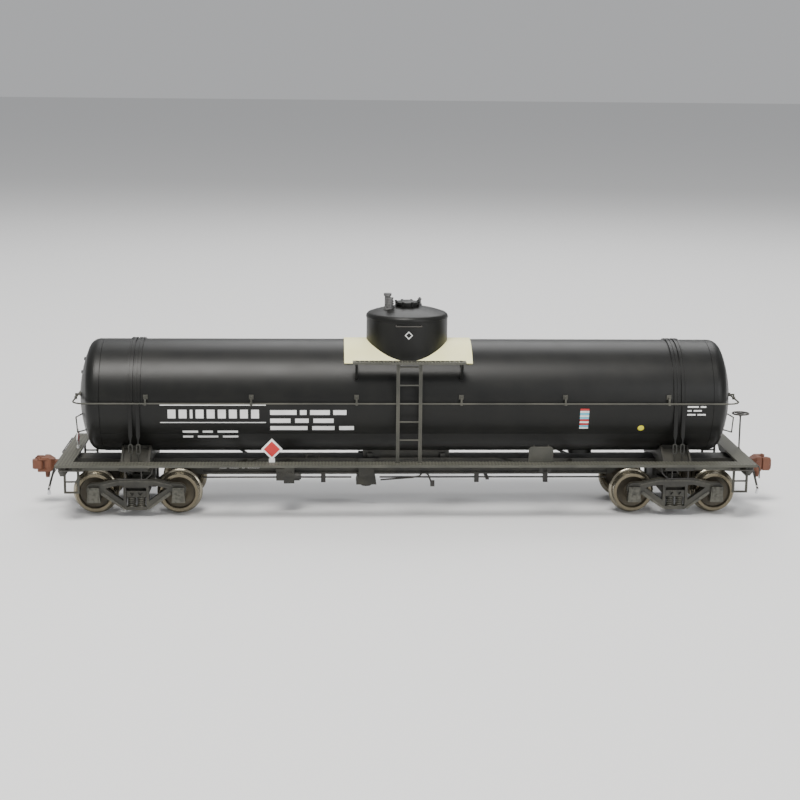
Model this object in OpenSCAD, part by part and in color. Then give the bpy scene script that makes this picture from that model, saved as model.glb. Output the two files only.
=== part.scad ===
// Eight-wheel tank wagon, a 1:87.1 scale model that stands on its wheel flanges.
// X runs along the wagon, Y across it and Z up. The origin is under the middle
// of the wagon at flange level. End B (+X) carries the hand brake, end A is -X.

/* [Tank] */
// Outer radius of the tank shell
tank_r = 13.4; // [12:0.1:16.5]
// Length of the barrel between its two head seams
barrel_len = 144; // [120:1:175]
// Wall thickness of the moulded shell
shell_t = 1.0; // [0.6:0.1:1.4]
// Crown radius of the dished heads
head_crown_r = 30; // [20:1:40]
// Knuckle radius of the dished heads
head_knuckle_r = 2.6; // [1.5:0.1:4]
// Width of a tank band
band_w = 1.25; // [0.8:0.05:1.5]
// Distance between the two bands of a pair
band_pitch = 1.8; // [1.6:0.05:2.5]

/* [Dome] */
// Outer radius of the dome
dome_r = 9.7; // [8:0.1:11.6]
// Height of the dome's shoulder above the top of the tank
dome_h = 6.8; // [5:0.1:8.4]
// Rise of the crowned dome top
dome_rise = 1.5; // [1:0.1:2.4]
// Length of the painted apron plate round the dome
apron_len = 30.2; // [26:0.1:36]
// Angle that the apron wraps down each side of the tank
apron_angle = 47; // [42:1:56]
// Length of a dome walkway
walk_len = 26.4; // [22:0.1:30]
// Radius of the manway cover
manway_r = 2.9; // [2.4:0.1:3.6]

/* [Underframe] */
// Height of the centre sill's top face
sill_top_z = 12.2; // [11.8:0.1:12.6]
// Height of the centre sill's lower face between the trucks
sill_bottom_z = 8.3; // [7.5:0.1:9]
// Width of the centre sill
sill_w = 6.4; // [5:0.1:7]
// Clear height between the centre sill and the tank
tank_gap = 1.7; // [1.5:0.1:2.5]
// Height of the walking surface of the running boards
board_z = 13.85; // [13.6:0.05:14.2]
// Width of a running board
board_w = 3.75; // [3:0.05:3.75]
// Thickness of a running board
board_t = 0.6; // [0.4:0.05:0.9]
// How far the running boards stand out beyond the tank
board_overhang = 4.15; // [3.8:0.05:5]
// Width of an end platform along the wagon
platform_w = 3.8; // [3:0.1:5]
// Distance from a head seam to the bolster centre
bolster_inset = 8.0; // [7:0.1:9]
// Distance from a head seam to the outer edge of the platform
end_overhang = 10.05; // [9.6:0.05:12]

/* [Running gear] */
// Tread radius of a wheel
tread_r = 4.75; // [4:0.05:5]
// Depth of a wheel flange
flange_h = 0.66; // [0.5:0.02:0.8]
// Distance between the backs of the two wheels
back_to_back = 14.5; // [14.2:0.05:14.7]
// Width of a wheel
wheel_w = 2.79; // [2.2:0.01:2.9]
// Wheelbase of a truck
wheelbase = 19.8; // [18:0.1:22]
// Radius of an axle between the wheels
axle_r = 0.8; // [0.6:0.05:1]
// Radius of an axle journal
journal_r = 0.45; // [0.35:0.05:0.6]
// Radial clearance of a journal in its bearing
journal_play = 0.05; // [0.03:0.01:0.1]
// Radius of a truck kingpin
kingpin_r = 0.9; // [0.7:0.05:1.2]

/* [Couplers] */
// Height of the coupler centre line
coupler_z = 10.3; // [10:0.1:10.6]
// Distance from the swing pivot to the pulling face
coupler_reach = 12.3; // [12:0.1:15]
// Radius of the coupler's pivot post
pivot_r = 0.8; // [0.6:0.05:1]
// Radial clearance of the coupler's pivots
pivot_play = 0.06; // [0.03:0.01:0.1]

/* [Hidden] */
$fn = 48;

black = [0.10, 0.10, 0.105];
frame_black = [0.17, 0.16, 0.15];
board_grey = [0.36, 0.35, 0.31];
wheel_steel = [0.55, 0.50, 0.42];
rust = [0.48, 0.27, 0.20];
cream = [0.96, 0.95, 0.80];
diamond_red = [0.78, 0.16, 0.18];

// Heights and places that follow from the driving dimensions
flange_r = tread_r + flange_h;
axle_z = flange_r;
seam_x = barrel_len / 2;
tank_z = sill_top_z + tank_gap + tank_r;
tank_top_z = tank_z + tank_r;
bolster_x = seam_x - bolster_inset;
platform_x = seam_x + end_overhang;
half_w = tank_r + board_overhang;
board_in_y = half_w - board_w;
board_under_z = board_z - board_t;
board_end_x = platform_x - platform_w;
wheel_face_y = back_to_back / 2 + wheel_w;
coupler_pivot_x = platform_x - 4.4;

// How deep a glued or pressed piece beds into what carries it
bed = 0.05;

// ---- Shared shapes ----

// Both ends, or both sides, of the wagon
module both_ends() { children(); mirror([1, 0, 0]) children(); }
module both_sides() { children(); mirror([0, 1, 0]) children(); }

// A block given by its lowest and highest corners
module block(low, high) { translate(low) cube(high - low); }

// A round bar between two points
module bar(a, b, d) {
    v = b - a;
    span = norm(v);
    translate(a) rotate([0, acos(v.z / span), atan2(v.y, v.x)]) cylinder(d = d, h = span);
}

// A cylinder along X or along Y, starting at a point
module along_x(at, d, h) { translate(at) rotate([0, 90, 0]) cylinder(d = d, h = h); }
module along_y(at, d, h) { translate(at) rotate([-90, 0, 0]) cylinder(d = d, h = h); }

// Unit direction from one point to the next
function heading(a, b) = (b - a) / norm(b - a);

// Points of a circular arc in a plane: centre c, axes u and v, angles a to b in n steps
function arc_points(c, u, v, r, a, b, n) =
    [for (i = [0:n]) let (t = a + (b - a) * i / n) c + r * cos(t) * u + r * sin(t) * v];

// A bent wire that lies in the plane square to `square_to`: one ring of n points at
// each bend, stretched on the mitre so that the wire keeps its thickness
module wire(path, d, square_to, n = 8) {
    last = len(path) - 1;
    rings = [for (i = [0:last])
        let (before = heading(path[max(i - 1, 0)], path[max(i, 1)]),
             after = heading(path[min(i, last - 1)], path[min(i + 1, last)]),
             along = (before + after) / norm(before + after),
             side = cross(along, square_to),
             mitre = 1 / max(before * along, 0.5))
        [for (k = [0:n - 1]) let (t = 360 * k / n)
            path[i] + d / 2 * (cos(t) * mitre * side + sin(t) * square_to)]];
    points = [for (ring = rings) each ring];
    walls = [for (i = [0:last - 1], k = [0:n - 1])
        [i * n + k, i * n + (k + 1) % n, (i + 1) * n + (k + 1) % n, (i + 1) * n + k]];
    first_cap = [[for (k = [0:n - 1]) n - 1 - k]];
    last_cap = [[for (k = [0:n - 1]) last * n + k]];
    polyhedron(points = points, faces = concat(walls, first_cap, last_cap));
}

// A ring sector round the tank's centre line: radii r1 to r2, width w at x,
// reaching `half` degrees either side of the direction `lean` (0 is straight up)
module tank_sector(x, r1, r2, w, half, lean = 0) {
    translate([x, 0, tank_z]) rotate([lean, 0, 0]) rotate([0, -90, 0]) rotate([0, 0, -half])
        rotate_extrude(angle = 2 * half, $fn = 96) translate([r1, -w / 2]) square([r2 - r1, w]);
}

// A symmetric outline from its half, given with the first value positive
function mirrored(half) =
    concat(half, [for (i = [len(half) - 1:-1:0]) [-half[i][0], half[i][1]]]);

// A plate in the X-Z plane from its outline, between two values of y
module plate_xz(outline, y1, y2) {
    translate([0, y2, 0]) rotate([90, 0, 0]) linear_extrude(y2 - y1) polygon(outline);
}

// A plate in the Y-Z plane from its outline, between two values of x
module plate_yz(outline, x1, x2) {
    translate([x1, 0, 0]) rotate([90, 0, 90]) linear_extrude(x2 - x1) polygon(outline);
}

// Half the width of the tank at a height
function tank_y(z, r = tank_r) = sqrt(r * r - (z - tank_z) * (z - tank_z));

// ---- Tank ----

sheet_lap = 0.08;
sheet_angle = 58;
sump_x = 42.5;
sump_r = 2.9;
spigot_len = 1.6;

// Barrel: a tube with the lapped bottom sheet and the round sump under it
module tank_barrel() color(black) {
    translate([0, 0, tank_z]) rotate([0, 90, 0]) difference() {
        cylinder(r = tank_r, h = barrel_len, center = true, $fn = 96);
        cylinder(r = tank_r - shell_t, h = barrel_len + 1, center = true, $fn = 96);
    }
    tank_sector(0, tank_r - shell_t / 2, tank_r + sheet_lap, barrel_len - 0.1, sheet_angle, 180);
    translate([sump_x, 0, tank_z - tank_r - 0.75])
        difference() {
            cylinder(r = sump_r, h = 1.4);
            translate([-sump_r - 1, 0, tank_r + 0.75]) rotate([0, 90, 0])
                cylinder(r = tank_r - shell_t / 2, h = 2 * sump_r + 2, $fn = 96);
        }
}

// Half outline of a dished head, as [radius, distance beyond the skirt]
function head_depth(r, knuckle, crown) = crown - sqrt((crown - knuckle) ^ 2 - (r - knuckle) ^ 2);
function head_curve(r, knuckle, crown) =
    let (depth = head_depth(r, knuckle, crown), turn = asin((r - knuckle) / (crown - knuckle)))
    concat(
        [for (i = [0:7]) let (a = (90 - turn) * i / 8) [r - knuckle + knuckle * cos(a), knuckle * sin(a)]],
        [for (i = [0:11]) let (a = turn * (1 - i / 12)) [crown * sin(a), depth - crown + crown * cos(a)]],
        [[0, depth]]);

skirt_len = 1.05;
head_depth_out = head_depth(tank_r, head_knuckle_r, head_crown_r);
head_x = seam_x + skirt_len + head_depth_out;

// Distance of the head's outer face from the middle of the wagon, at a radius
function head_face_x(r) = head_x - head_crown_r + sqrt(head_crown_r ^ 2 - r ^ 2);

module tank_head() {
    inner_r = tank_r - shell_t;
    outer = head_curve(tank_r, head_knuckle_r, head_crown_r);
    inner = head_curve(inner_r, head_knuckle_r - shell_t / 2, head_crown_r - shell_t);
    translate([seam_x, 0, tank_z]) rotate([0, 90, 0]) difference() {
        rotate_extrude($fn = 96) polygon(concat(
            [[0, -spigot_len], [inner_r - bed, -spigot_len], [inner_r - bed, 0],
             [tank_r - 0.1, 0], [tank_r, 0.1]],
            [for (p = outer) p + [0, skirt_len]]));
        rotate_extrude($fn = 96) polygon(concat(
            [[0, -spigot_len - 1], [inner_r - 1, -spigot_len - 1], [inner_r - 1, 0]],
            [for (p = inner) [min(p[0], inner_r - 1), p[1] + skirt_len - shell_t / 2]]));
    }
    // Round fitting and placard clips on the crown
    for (z = [5.4, 8.6])
        along_x([head_face_x(z) - 0.1, 0, tank_z + z], 0.8, 0.5);
}
module tank_head_a() color(black) mirror([1, 0, 0]) tank_head();
module tank_head_b() color(black) tank_head();

// Steel bar that gives the model its weight, on the floor of the shell
ballast_len = 110;
module ballast_bar() color([0.5, 0.5, 0.52])
    block([-ballast_len / 2, -6, tank_z - 9.5], [ballast_len / 2, 6, tank_z - 9.5 + 3]);

// Bands over the tank: two to each bolster, grooved above the rail, flat below it
band_t = 0.33;
strap_w = 0.9;
strap_foot_z = tank_z - 7.4;
module tank_bands() color(black)
    for (end = [-1, 1], k = [-0.5, 0.5]) let (x = end * bolster_x + k * band_pitch) {
        difference() {
            tank_sector(x, tank_r + 0.01, tank_r + band_t, band_w, 90);
            tank_sector(x, tank_r + band_t - 0.12, tank_r + band_t + 1, band_w * 0.3, 100);
        }
        both_sides() plate_xz([
            [x - strap_w / 2, tank_z + 0.5], [x - strap_w / 2, strap_foot_z],
            [x - 0.16, strap_foot_z - 1], [x - 0.16, strap_foot_z - 1.8],
            [x + 0.16, strap_foot_z - 1.8], [x + 0.16, strap_foot_z - 1],
            [x + strap_w / 2, strap_foot_z], [x + strap_w / 2, tank_z + 0.5]],
            tank_r + 0.03, tank_r + band_t);
    }

// Turnbuckle links and the rods under them, standing on the body bolsters
link_h = 2.6;
link_w = 1.1;
link_top_z = strap_foot_z - 1.8;
rod_y = tank_r + band_t / 2 + 0.015;
module turnbuckle_link() {
    difference() {
        union() {
            translate([0, link_h / 2 - link_w / 2]) circle(d = link_w);
            translate([0, -link_h / 2 + link_w / 2]) circle(d = link_w);
            square([link_w, link_h - link_w], center = true);
        }
        translate([0, link_h / 2 - link_w / 2]) circle(d = link_w / 2);
        translate([0, -link_h / 2 + link_w / 2]) circle(d = link_w / 2);
        square([link_w / 2, link_h - link_w], center = true);
    }
}
module band_turnbuckles() color(frame_black)
    for (end = [-1, 1], k = [-0.5, 0.5], side = [-1, 1])
        let (x = end * bolster_x + k * band_pitch, y = side * rod_y) {
            translate([x, y + 0.15, link_top_z - link_h / 2]) rotate([90, 0, 0])
                linear_extrude(0.3) turnbuckle_link();
            bar([x, y, board_under_z], [x, y, link_top_z - link_h + 0.2], 0.3);
            translate([x, y, link_top_z - link_h - 0.7]) cylinder(d = 0.44, h = 0.4, $fn = 6);
        }

// ---- Dome ----

apron_t = 0.35;
shoulder_z = tank_top_z + dome_h;
rim_h = 1.25;
rim_r = 1.05;
crown_r = dome_r - 0.75;
dome_crown_r = (crown_r ^ 2 + dome_rise ^ 2) / (2 * dome_rise);
dome_top_z = shoulder_z + dome_rise;
function dome_top_at(r) = dome_top_z - dome_crown_r + sqrt(dome_crown_r ^ 2 - r ^ 2);

// Dome: a hollow turned shell with a rounded rim, cut to sit on the tank
module dome_shell() color(black) difference() {
    rotate_extrude($fn = 96) polygon(concat(
        [[dome_r - shell_t, tank_z], [dome_r, tank_z], [dome_r, shoulder_z - rim_h],
         [dome_r + 0.12, shoulder_z - rim_h + 0.06]],
        [for (i = [0:6]) let (a = 12.5 * i)
            [dome_r + 0.12 - rim_r + rim_r * cos(a), shoulder_z - rim_r + rim_r * sin(a)]],
        [[crown_r, shoulder_z]],
        [for (i = [1:10]) let (r = crown_r * (1 - i / 10)) [r, dome_top_at(r)]],
        [[0, dome_top_z - shell_t], [dome_r - shell_t, shoulder_z - shell_t]]));
    rotate([0, 90, 0]) translate([-tank_z, 0, 0])
        cylinder(r = tank_r, h = 4 * dome_r, center = true, $fn = 96);
}

// Painted plate over the tank round the dome
module dome_apron() color(cream) difference() {
    tank_sector(0, tank_r + 0.01, tank_r + apron_t, apron_len, apron_angle);
    translate([0, 0, tank_z]) cylinder(r = dome_r + 0.03, h = 2 * tank_r, $fn = 96);
}

manway_h = 0.85;
manway_x = 0;
module manway_cover() color(black) translate([manway_x, 0, 0]) {
    translate([0, 0, dome_top_at(manway_r) - 0.25]) cylinder(r = manway_r - 0.25, h = manway_h);
    translate([0, 0, dome_top_z + manway_h - 0.45]) difference() {
        cylinder(r = manway_r, h = 0.5);
        for (i = [0:7]) rotate([0, 0, 45 * i + 22.5]) translate([manway_r - 0.05, 0, -1])
            cylinder(d = 0.7, h = 3);
    }
    translate([0, 0, dome_top_z + manway_h]) cylinder(r1 = manway_r - 0.5, r2 = manway_r - 1.5, h = 0.35);
}

// Swing bolts that hold the manway cover down
module manway_bolts() color(frame_black) for (i = [0:7]) rotate([0, 0, 45 * i + 22.5])
    translate([manway_x + manway_r - 0.05, 0, dome_top_at(manway_r) - 0.1]) {
        cylinder(d = 0.4, h = 1.25);
        translate([0, 0, 1.0]) cylinder(d = 0.66, h = 0.36, $fn = 6);
    }

// Twin safety valves on one flange, and the vent with its bright cap
valve_x = -4.4;
valve_y = -1.9;
vent_x = 3.1;
vent_y = 2.0;
module dome_valves() color(black) {
    translate([valve_x, valve_y, dome_top_at(norm([valve_x, valve_y])) - 0.3]) {
        cylinder(r = 1.35, h = 0.55);
        translate([0.15, -0.35, 0]) {
            cylinder(d = 1.5, h = 2.6);
            for (z = [0.75, 1.3, 1.85]) translate([0, 0, z]) cylinder(d = 1.95, h = 0.3);
            translate([0, 0, 2.5]) cylinder(d = 1.75, h = 0.4);
        }
        translate([-0.35, 0.5, 0]) {
            cylinder(d = 1.4, h = 3.6);
            translate([0, 0, 3.2]) cylinder(d = 1.85, h = 0.6);
        }
        for (i = [0:7]) rotate([0, 0, 45 * i]) translate([1.13, 0, 0.5]) cylinder(d = 0.3, h = 0.25, $fn = 6);
    }
    translate([vent_x, vent_y, dome_top_at(norm([vent_x, vent_y])) - 0.2]) {
        cylinder(d = 1.1, h = 0.6);
        cylinder(d = 0.7, h = 1.5);
        translate([0, 0, 1.5]) cylinder(d = 0.95, h = 0.35, $fn = 6);
        translate([0, 0, 1.8]) cylinder(d = 0.5, h = 0.35);
    }
}

// Hand grips on the near and far sides of the dome
grip_half = 2.95;
grip_z = shoulder_z - 2.1;
grip_out = 0.8;
wire_d = 0.32;
module dome_grab_irons() color(black) both_sides()
    let (y_in = -sqrt(dome_r ^ 2 - grip_half ^ 2) + bed, y_out = -dome_r - grip_out)
    wire([[-grip_half, y_in, grip_z], [-grip_half, y_out, grip_z],
          [grip_half, y_out, grip_z], [grip_half, y_in, grip_z]], wire_d, [0, 0, 1]);

// Walkways beside the dome, each on two brackets
walk_z = tank_z + 10.5;
walk_t = 0.5;
walk_out_y = tank_r + 2.2;
walk_w = 2.6;
bracket_x = walk_len / 2 - 0.9;
grate_pitch = 1.1;
grate_n = floor((walk_len - 0.8) / grate_pitch);
module dome_walkways() color(board_grey) both_sides()
    translate([0, -walk_out_y, walk_z - walk_t]) difference() {
        translate([-walk_len / 2, 0, 0]) cube([walk_len, walk_w, walk_t]);
        for (i = [0:grate_n - 1])
            translate([(i - (grate_n - 1) / 2) * grate_pitch - 0.38, 0.35, walk_t - 0.2])
                cube([0.76, walk_w - 0.7, 1]);
    }

foot_z = tank_z + 6.0;
module walkway_brackets() color(black) both_sides() for (x = [-bracket_x, bracket_x]) {
    // The arm ends on the apron, the foot stands on the tank
    arm_y = tank_y(walk_z - walk_t - 0.4, tank_r + apron_t);
    foot_y = tank_y(foot_z);
    translate([x - 0.25, 0, 0]) rotate([90, 0, 90]) linear_extrude(0.5) polygon([
        [-walk_out_y + 0.3, walk_z - walk_t], [-arm_y + 0.02, walk_z - walk_t],
        [-arm_y + 0.02, walk_z - walk_t - 0.4], [-walk_out_y + 1.3, walk_z - walk_t - 0.4],
        [-foot_y - 0.35, foot_z + 0.4], [-foot_y + bed, foot_z + 0.4], [-foot_y - 0.02, foot_z],
        [-foot_y - 0.35, foot_z - 0.1], [-walk_out_y + 0.3, walk_z - walk_t - 0.55]]);
    translate([x, -foot_y, foot_z - 0.1]) rotate([-asin((foot_z - tank_z) / tank_r), 0, 0])
        rotate([90, 0, 0]) translate([0, 0, -0.02]) cylinder(d = 0.9, h = 0.35, $fn = 6);
}

// Ladders from the running boards to the dome walkways
ladder_half = 2.62;
stile_w = 0.8;
stile_t = 0.45;
ladder_y = walk_out_y - stile_t - 0.02;
rung_n = 5;
rung_pitch = (walk_z - board_z) / 5.52;
module ladders() color(board_grey) both_sides() {
    for (s = [-1, 1]) difference() {
        translate([s * ladder_half - stile_w / 2, -ladder_y, board_z])
            cube([stile_w, stile_t, walk_z - walk_t - board_z]);
        translate([s * ladder_half - stile_w / 2 + 0.22, -ladder_y - 1, board_z - 1])
            cube([stile_w - 0.44, 1.12, walk_z]);
    }
    for (i = [0:rung_n - 1])
        along_x([-ladder_half, -ladder_y + 0.26, walk_z - 1.2 - i * rung_pitch], 0.34, 2 * ladder_half);
    for (s = [-1, 1])
        translate([s * ladder_half - 0.55, -ladder_y - 0.1, board_z]) cube([1.1, 0.7, 0.25]);
}

// ---- Handrail and grips ----

rail_z = tank_z + 0.5;
rail_y = tank_r + 1.0;
rail_x = seam_x + 6.25;
rail_corner = 3.0;
rail_d = 0.4;
post_n = 6;
post_x0 = seam_x - 10.75;
post_xs = [for (i = [0:post_n - 1]) -post_x0 + 2 * post_x0 * i / (post_n - 1)];
X = [1, 0, 0];
Y = [0, 1, 0];

// One closed loop is made of two halves that meet over the end posts
module handrail() color(board_grey) both_sides()
    wire(concat(
        [[-rail_x, 0, rail_z]],
        arc_points([-rail_x + rail_corner, -rail_y + rail_corner, rail_z], X, Y, rail_corner, 180, 270, 6),
        [for (x = post_xs) [x, -rail_y, rail_z]],
        arc_points([rail_x - rail_corner, -rail_y + rail_corner, rail_z], X, Y, rail_corner, 270, 360, 6),
        [[rail_x, 0, rail_z]]), rail_d, [0, 0, 1]);

// Posts: a square foot bolted to the tank, an arm down to the rail and an eye
post_foot = 1.05;
foot_up = 1.4;
module rail_post() {
    y = tank_y(rail_z + foot_up);
    difference() {
        union() {
            translate([-post_foot / 2, -y - 0.3, rail_z + foot_up - post_foot / 2])
                cube([post_foot, 0.33, post_foot]);
            translate([-0.22, -rail_y - 0.02, rail_z - 0.35]) cube([0.44, 0.3, foot_up]);
            translate([-0.22, -rail_y - 0.02, rail_z + foot_up - 0.6]) cube([0.44, rail_y - y + 0.04, 0.4]);
            along_y([0, -rail_y - 0.35, rail_z], 0.75, 0.6);
        }
        along_x([-1, -rail_y, rail_z], rail_d + 0.02, 2);
    }
    along_y([0, -y - 0.5, rail_z + foot_up], 0.42, 0.3);
}
end_post_y = 7;
module handrail_posts() color(board_grey) {
    both_sides() for (x = post_xs) translate([x, 0, 0]) rail_post();
    both_ends() for (y = [-end_post_y, end_post_y]) {
        root_x = head_face_x(norm([y, rail_z + 0.9 - tank_z]));
        difference() {
            union() {
                along_x([root_x - bed, y, rail_z + 0.9], 0.9, 0.35);
                block([root_x, y - 0.2, rail_z + 0.65], [rail_x + 0.1, y + 0.2, rail_z + 1.05]);
                block([rail_x - 0.2, y - 0.2, rail_z - 0.35], [rail_x + 0.1, y + 0.2, rail_z + 1.05]);
                along_x([rail_x - 0.3, y, rail_z], 0.75, 0.6);
            }
            along_y([rail_x, y - 1, rail_z], rail_d + 0.02, 2);
        }
    }
}

// Upright hand grips on both heads
head_grip_y = 8;
head_grip_low = tank_z - 7.6;
head_grip_high = tank_z - 3.1;
module head_grab_irons() color(black) both_ends() both_sides()
    let (x_low = head_face_x(norm([head_grip_y, head_grip_low - tank_z])),
         x_high = head_face_x(norm([head_grip_y, head_grip_high - tank_z])), x_out = head_x)
    wire([[x_low - bed, -head_grip_y, head_grip_low + 0.6], [x_out, -head_grip_y, head_grip_low],
          [x_out + 0.3, -head_grip_y, head_grip_high - 0.9], [x_high - bed, -head_grip_y, head_grip_high]],
         wire_d, Y);

// ---- Underframe ----

sill_end_z = 10.4;
sill_rise_x = bolster_x - 14;
box_rear_x = coupler_pivot_x - 2.15;
box_front_x = platform_x + 0.25;
pin_z = sill_top_z - 0.6;
web_d = 0.4;
flange_t = 0.5;
web_low_z = sill_bottom_z + flange_t;

// Centre sill, shallower over the trucks
module centre_sill() color(frame_black) difference() {
    plate_xz([
        [-box_rear_x, sill_top_z], [-box_rear_x, sill_end_z], [-sill_rise_x - 2.5, sill_end_z],
        [-sill_rise_x, sill_bottom_z], [sill_rise_x, sill_bottom_z],
        [sill_rise_x + 2.5, sill_end_z], [box_rear_x, sill_end_z], [box_rear_x, sill_top_z]],
        -sill_w / 2, sill_w / 2);
    both_ends() translate([bolster_x, 0, sill_end_z - 1]) cylinder(r = kingpin_r, h = pin_z - sill_end_z + 1);
    // Web recesses, which leave top and bottom flanges
    both_sides() translate([-sill_rise_x + 1, sill_w / 2 - web_d, web_low_z])
        cube([2 * sill_rise_x - 2, 1, sill_top_z - flange_t - web_low_z]);
}

// Body bolsters: a saddle over the sill, arms out under the running boards, centre plate below
bolster_half = 3.4;
centre_plate_z = 9.85;
bolster_low_z = sill_end_z - 0.3;
saddle_z = tank_z - 0.8 * tank_r;
saddle_y = tank_y(saddle_z);
arm_y = half_w - 1.3;
module body_bolsters() color(frame_black) both_ends() difference() {
    union() {
        plate_yz(mirrored([
            [0, bolster_low_z], [8.5, bolster_low_z], [arm_y, board_under_z - 1.1],
            [arm_y, board_under_z], [board_in_y - 0.1, board_under_z],
            [saddle_y + 0.4, saddle_z], [saddle_y - 1, saddle_z + 0.1], [0, saddle_z]]),
            bolster_x - bolster_half, bolster_x + bolster_half);
        translate([bolster_x, 0, centre_plate_z]) cylinder(r = 2.8, h = 0.6);
    }
    // Seats for the tank and the sill
    along_x([bolster_x - 5, 0, tank_z], 2 * (tank_r + sheet_lap + 0.01), 10);
    block([bolster_x - 5, -sill_w / 2, sill_end_z], [bolster_x + 5, sill_w / 2, sill_top_z + 0.01]);
    translate([bolster_x, 0, 5]) cylinder(r = kingpin_r, h = 6);
    // Hollow slopes between the side flanges
    both_sides() plate_yz([
        [-board_in_y + 1.2, board_under_z + 0.05], [-saddle_y - 0.1, saddle_z - 0.75],
        [-saddle_y - 0.6, saddle_z + 1], [-board_in_y - 1, saddle_z + 1],
        [-board_in_y - 1, board_under_z + 0.05]],
        bolster_x - bolster_half + 0.5, bolster_x + bolster_half - 0.5);
}

// Anchor that ties the tank to the sill at mid-length
anchor_half = 10.4;
module tank_anchor() color(frame_black) {
    difference() {
        block([-anchor_half, -2.4, sill_top_z], [anchor_half, 2.4, tank_z - tank_r + 1]);
        along_x([-anchor_half - 1, 0, tank_z], 2 * (tank_r + sheet_lap + 0.01), 2 * anchor_half + 2);
    }
    for (x = [-8.8, 8.8], side = [-1, 1])
        block([x - 0.6, side * 2.75 - 0.35, sill_top_z], [x + 0.6, side * 2.75 + 0.35, sill_top_z + 1.2]);
}

// Running boards with the sill angles under their ends
strip_x0 = bolster_x + bolster_half + 0.05;
strip_x1 = platform_x - 3.9;
module running_boards() color(board_grey) both_sides() {
    block([-board_end_x, -half_w, board_under_z], [board_end_x, -board_in_y, board_z]);
    // The angle runs just inside the legs of the corner steps
    both_ends() block([strip_x0, -step_y + 0.52, board_under_z - 0.9],
                      [strip_x1, -step_y + 1.02, board_under_z]);
}

module end_platforms() color(board_grey) both_ends()
    block([board_end_x, -half_w, board_under_z], [platform_x, half_w, board_z]);

// Diagonal outriggers that hold the running boards, and the small brackets by the route board
outrigger_d = 0.7;
module board_outriggers() color(frame_black) {
    for (x = [-38.5, 40], side = [-1, 1])
        let (foot = [x - 5.5, side * (board_in_y + 0.2), board_under_z - 0.36],
             root = [x, side * (sill_w / 2 + 0.36), sill_top_z - 0.5])
        bar(root, foot, outrigger_d);
    for (x = [30.8, 32.6])
        difference() {
            block([x, -half_w + 2.0, board_under_z - 1.7], [x + 0.9, -half_w + 3.2, board_under_z]);
            block([x - 1, -half_w + 2.4, board_under_z - 2], [x + 2, -half_w + 4, board_under_z - 0.5]);
        }
}

// End sills, notched round the draft boxes; end B carries the hand brake's bracket
end_sill_x = platform_x - 1.75;
end_sill_t = 1.1;
box_half_y = 3.0;
staff_x = platform_x + 0.32;
staff_y = 1.8;
staff_r = 0.2;
staff_play = 0.05;
staff_foot_z = board_under_z - 0.95;
module end_sills() color(frame_black) {
    both_ends() difference() {
        plate_yz(mirrored([
            [box_half_y + 0.02, sill_top_z - 1.9], [half_w - 4, sill_top_z - 1.9],
            [half_w - 1, board_under_z - 1.1], [half_w - 1, board_under_z]]),
            end_sill_x, end_sill_x + end_sill_t);
        block([end_sill_x - 1, -box_half_y - 0.02, 0],
              [end_sill_x + 2, box_half_y + 0.02, sill_top_z + 0.01]);
    }
    difference() {
        block([end_sill_x + end_sill_t, staff_y - 0.6, board_under_z - 0.65],
              [staff_x + 0.55, staff_y + 0.6, board_under_z - 0.05]);
        translate([staff_x, staff_y, 0]) cylinder(r = staff_r + staff_play, h = 2 * board_z);
    }
}

// Corner steps: two legs, a middle rung and a tread
step_in_x = platform_x - 5.55;
step_out_x = platform_x - 1.95;
step_low_z = 7.0;
step_mid_z = 9.6;
step_y = half_w - 0.7;
module sill_steps() color(frame_black) both_ends() both_sides() {
    for (x = [step_in_x, step_out_x - 0.5])
        block([x, -step_y, step_low_z], [x + 0.5, -step_y + 0.5, board_under_z]);
    block([step_in_x, -step_y, step_low_z], [step_out_x, -step_y + 0.9, step_low_z + 0.3]);
    block([step_in_x, -step_y, step_mid_z], [step_out_x, -step_y + 0.6, step_mid_z + 0.28]);
}

// Wire grips at the corners and the wire frames under the bolsters
stirrup_z = 10.1;
stirrup_y = half_w - 2.0;
module wire_grabs() color(frame_black) both_ends() both_sides() {
    x0 = platform_x - 6.6;
    x1 = platform_x - 1.0;
    y = -half_w + 0.2;
    wire([[x0, y, board_under_z + 0.02], [x0, y, board_under_z - 0.8],
          [x1, y, board_under_z - 0.8], [x1, y, board_under_z + 0.02]], wire_d, Y);
    wire([[bolster_x - 4.3, -stirrup_y, board_under_z + 0.02],
          [bolster_x - 4.1, -stirrup_y, stirrup_z + 1.4], [bolster_x - 2.7, -stirrup_y, stirrup_z],
          [bolster_x + 3.6, -stirrup_y, stirrup_z]], wire_d, Y);
    for (dx = [-1.7, 2.1])
        bar([bolster_x + dx, -stirrup_y, stirrup_z],
            [bolster_x + dx, -stirrup_y, board_under_z - 1.05], wire_d);
}

// Route-card board on the near running board
card_x0 = 28.3;
card_w = 5.8;
card_h = 3.7;
card_y = board_in_y + 0.4;
module placard_board() color(board_grey) {
    difference() {
        plate_xz([[card_x0, board_z], [card_x0 + card_w, board_z],
                  [card_x0 + card_w, board_z + card_h - 0.5], [card_x0 + card_w - 0.5, board_z + card_h],
                  [card_x0 + 0.5, board_z + card_h], [card_x0, board_z + card_h - 0.5]],
                 -card_y - 0.35, -card_y);
        block([card_x0 + 0.4, -card_y - 1, board_z + 0.35],
              [card_x0 + card_w - 0.4, -card_y - 0.28, board_z + card_h - 0.4]);
    }
    for (x = [card_x0 + 1.2, card_x0 + card_w - 1.2])
        translate([x, -card_y - 0.175, board_z + card_h]) cylinder(d = 0.34, h = 0.3);
}

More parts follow.
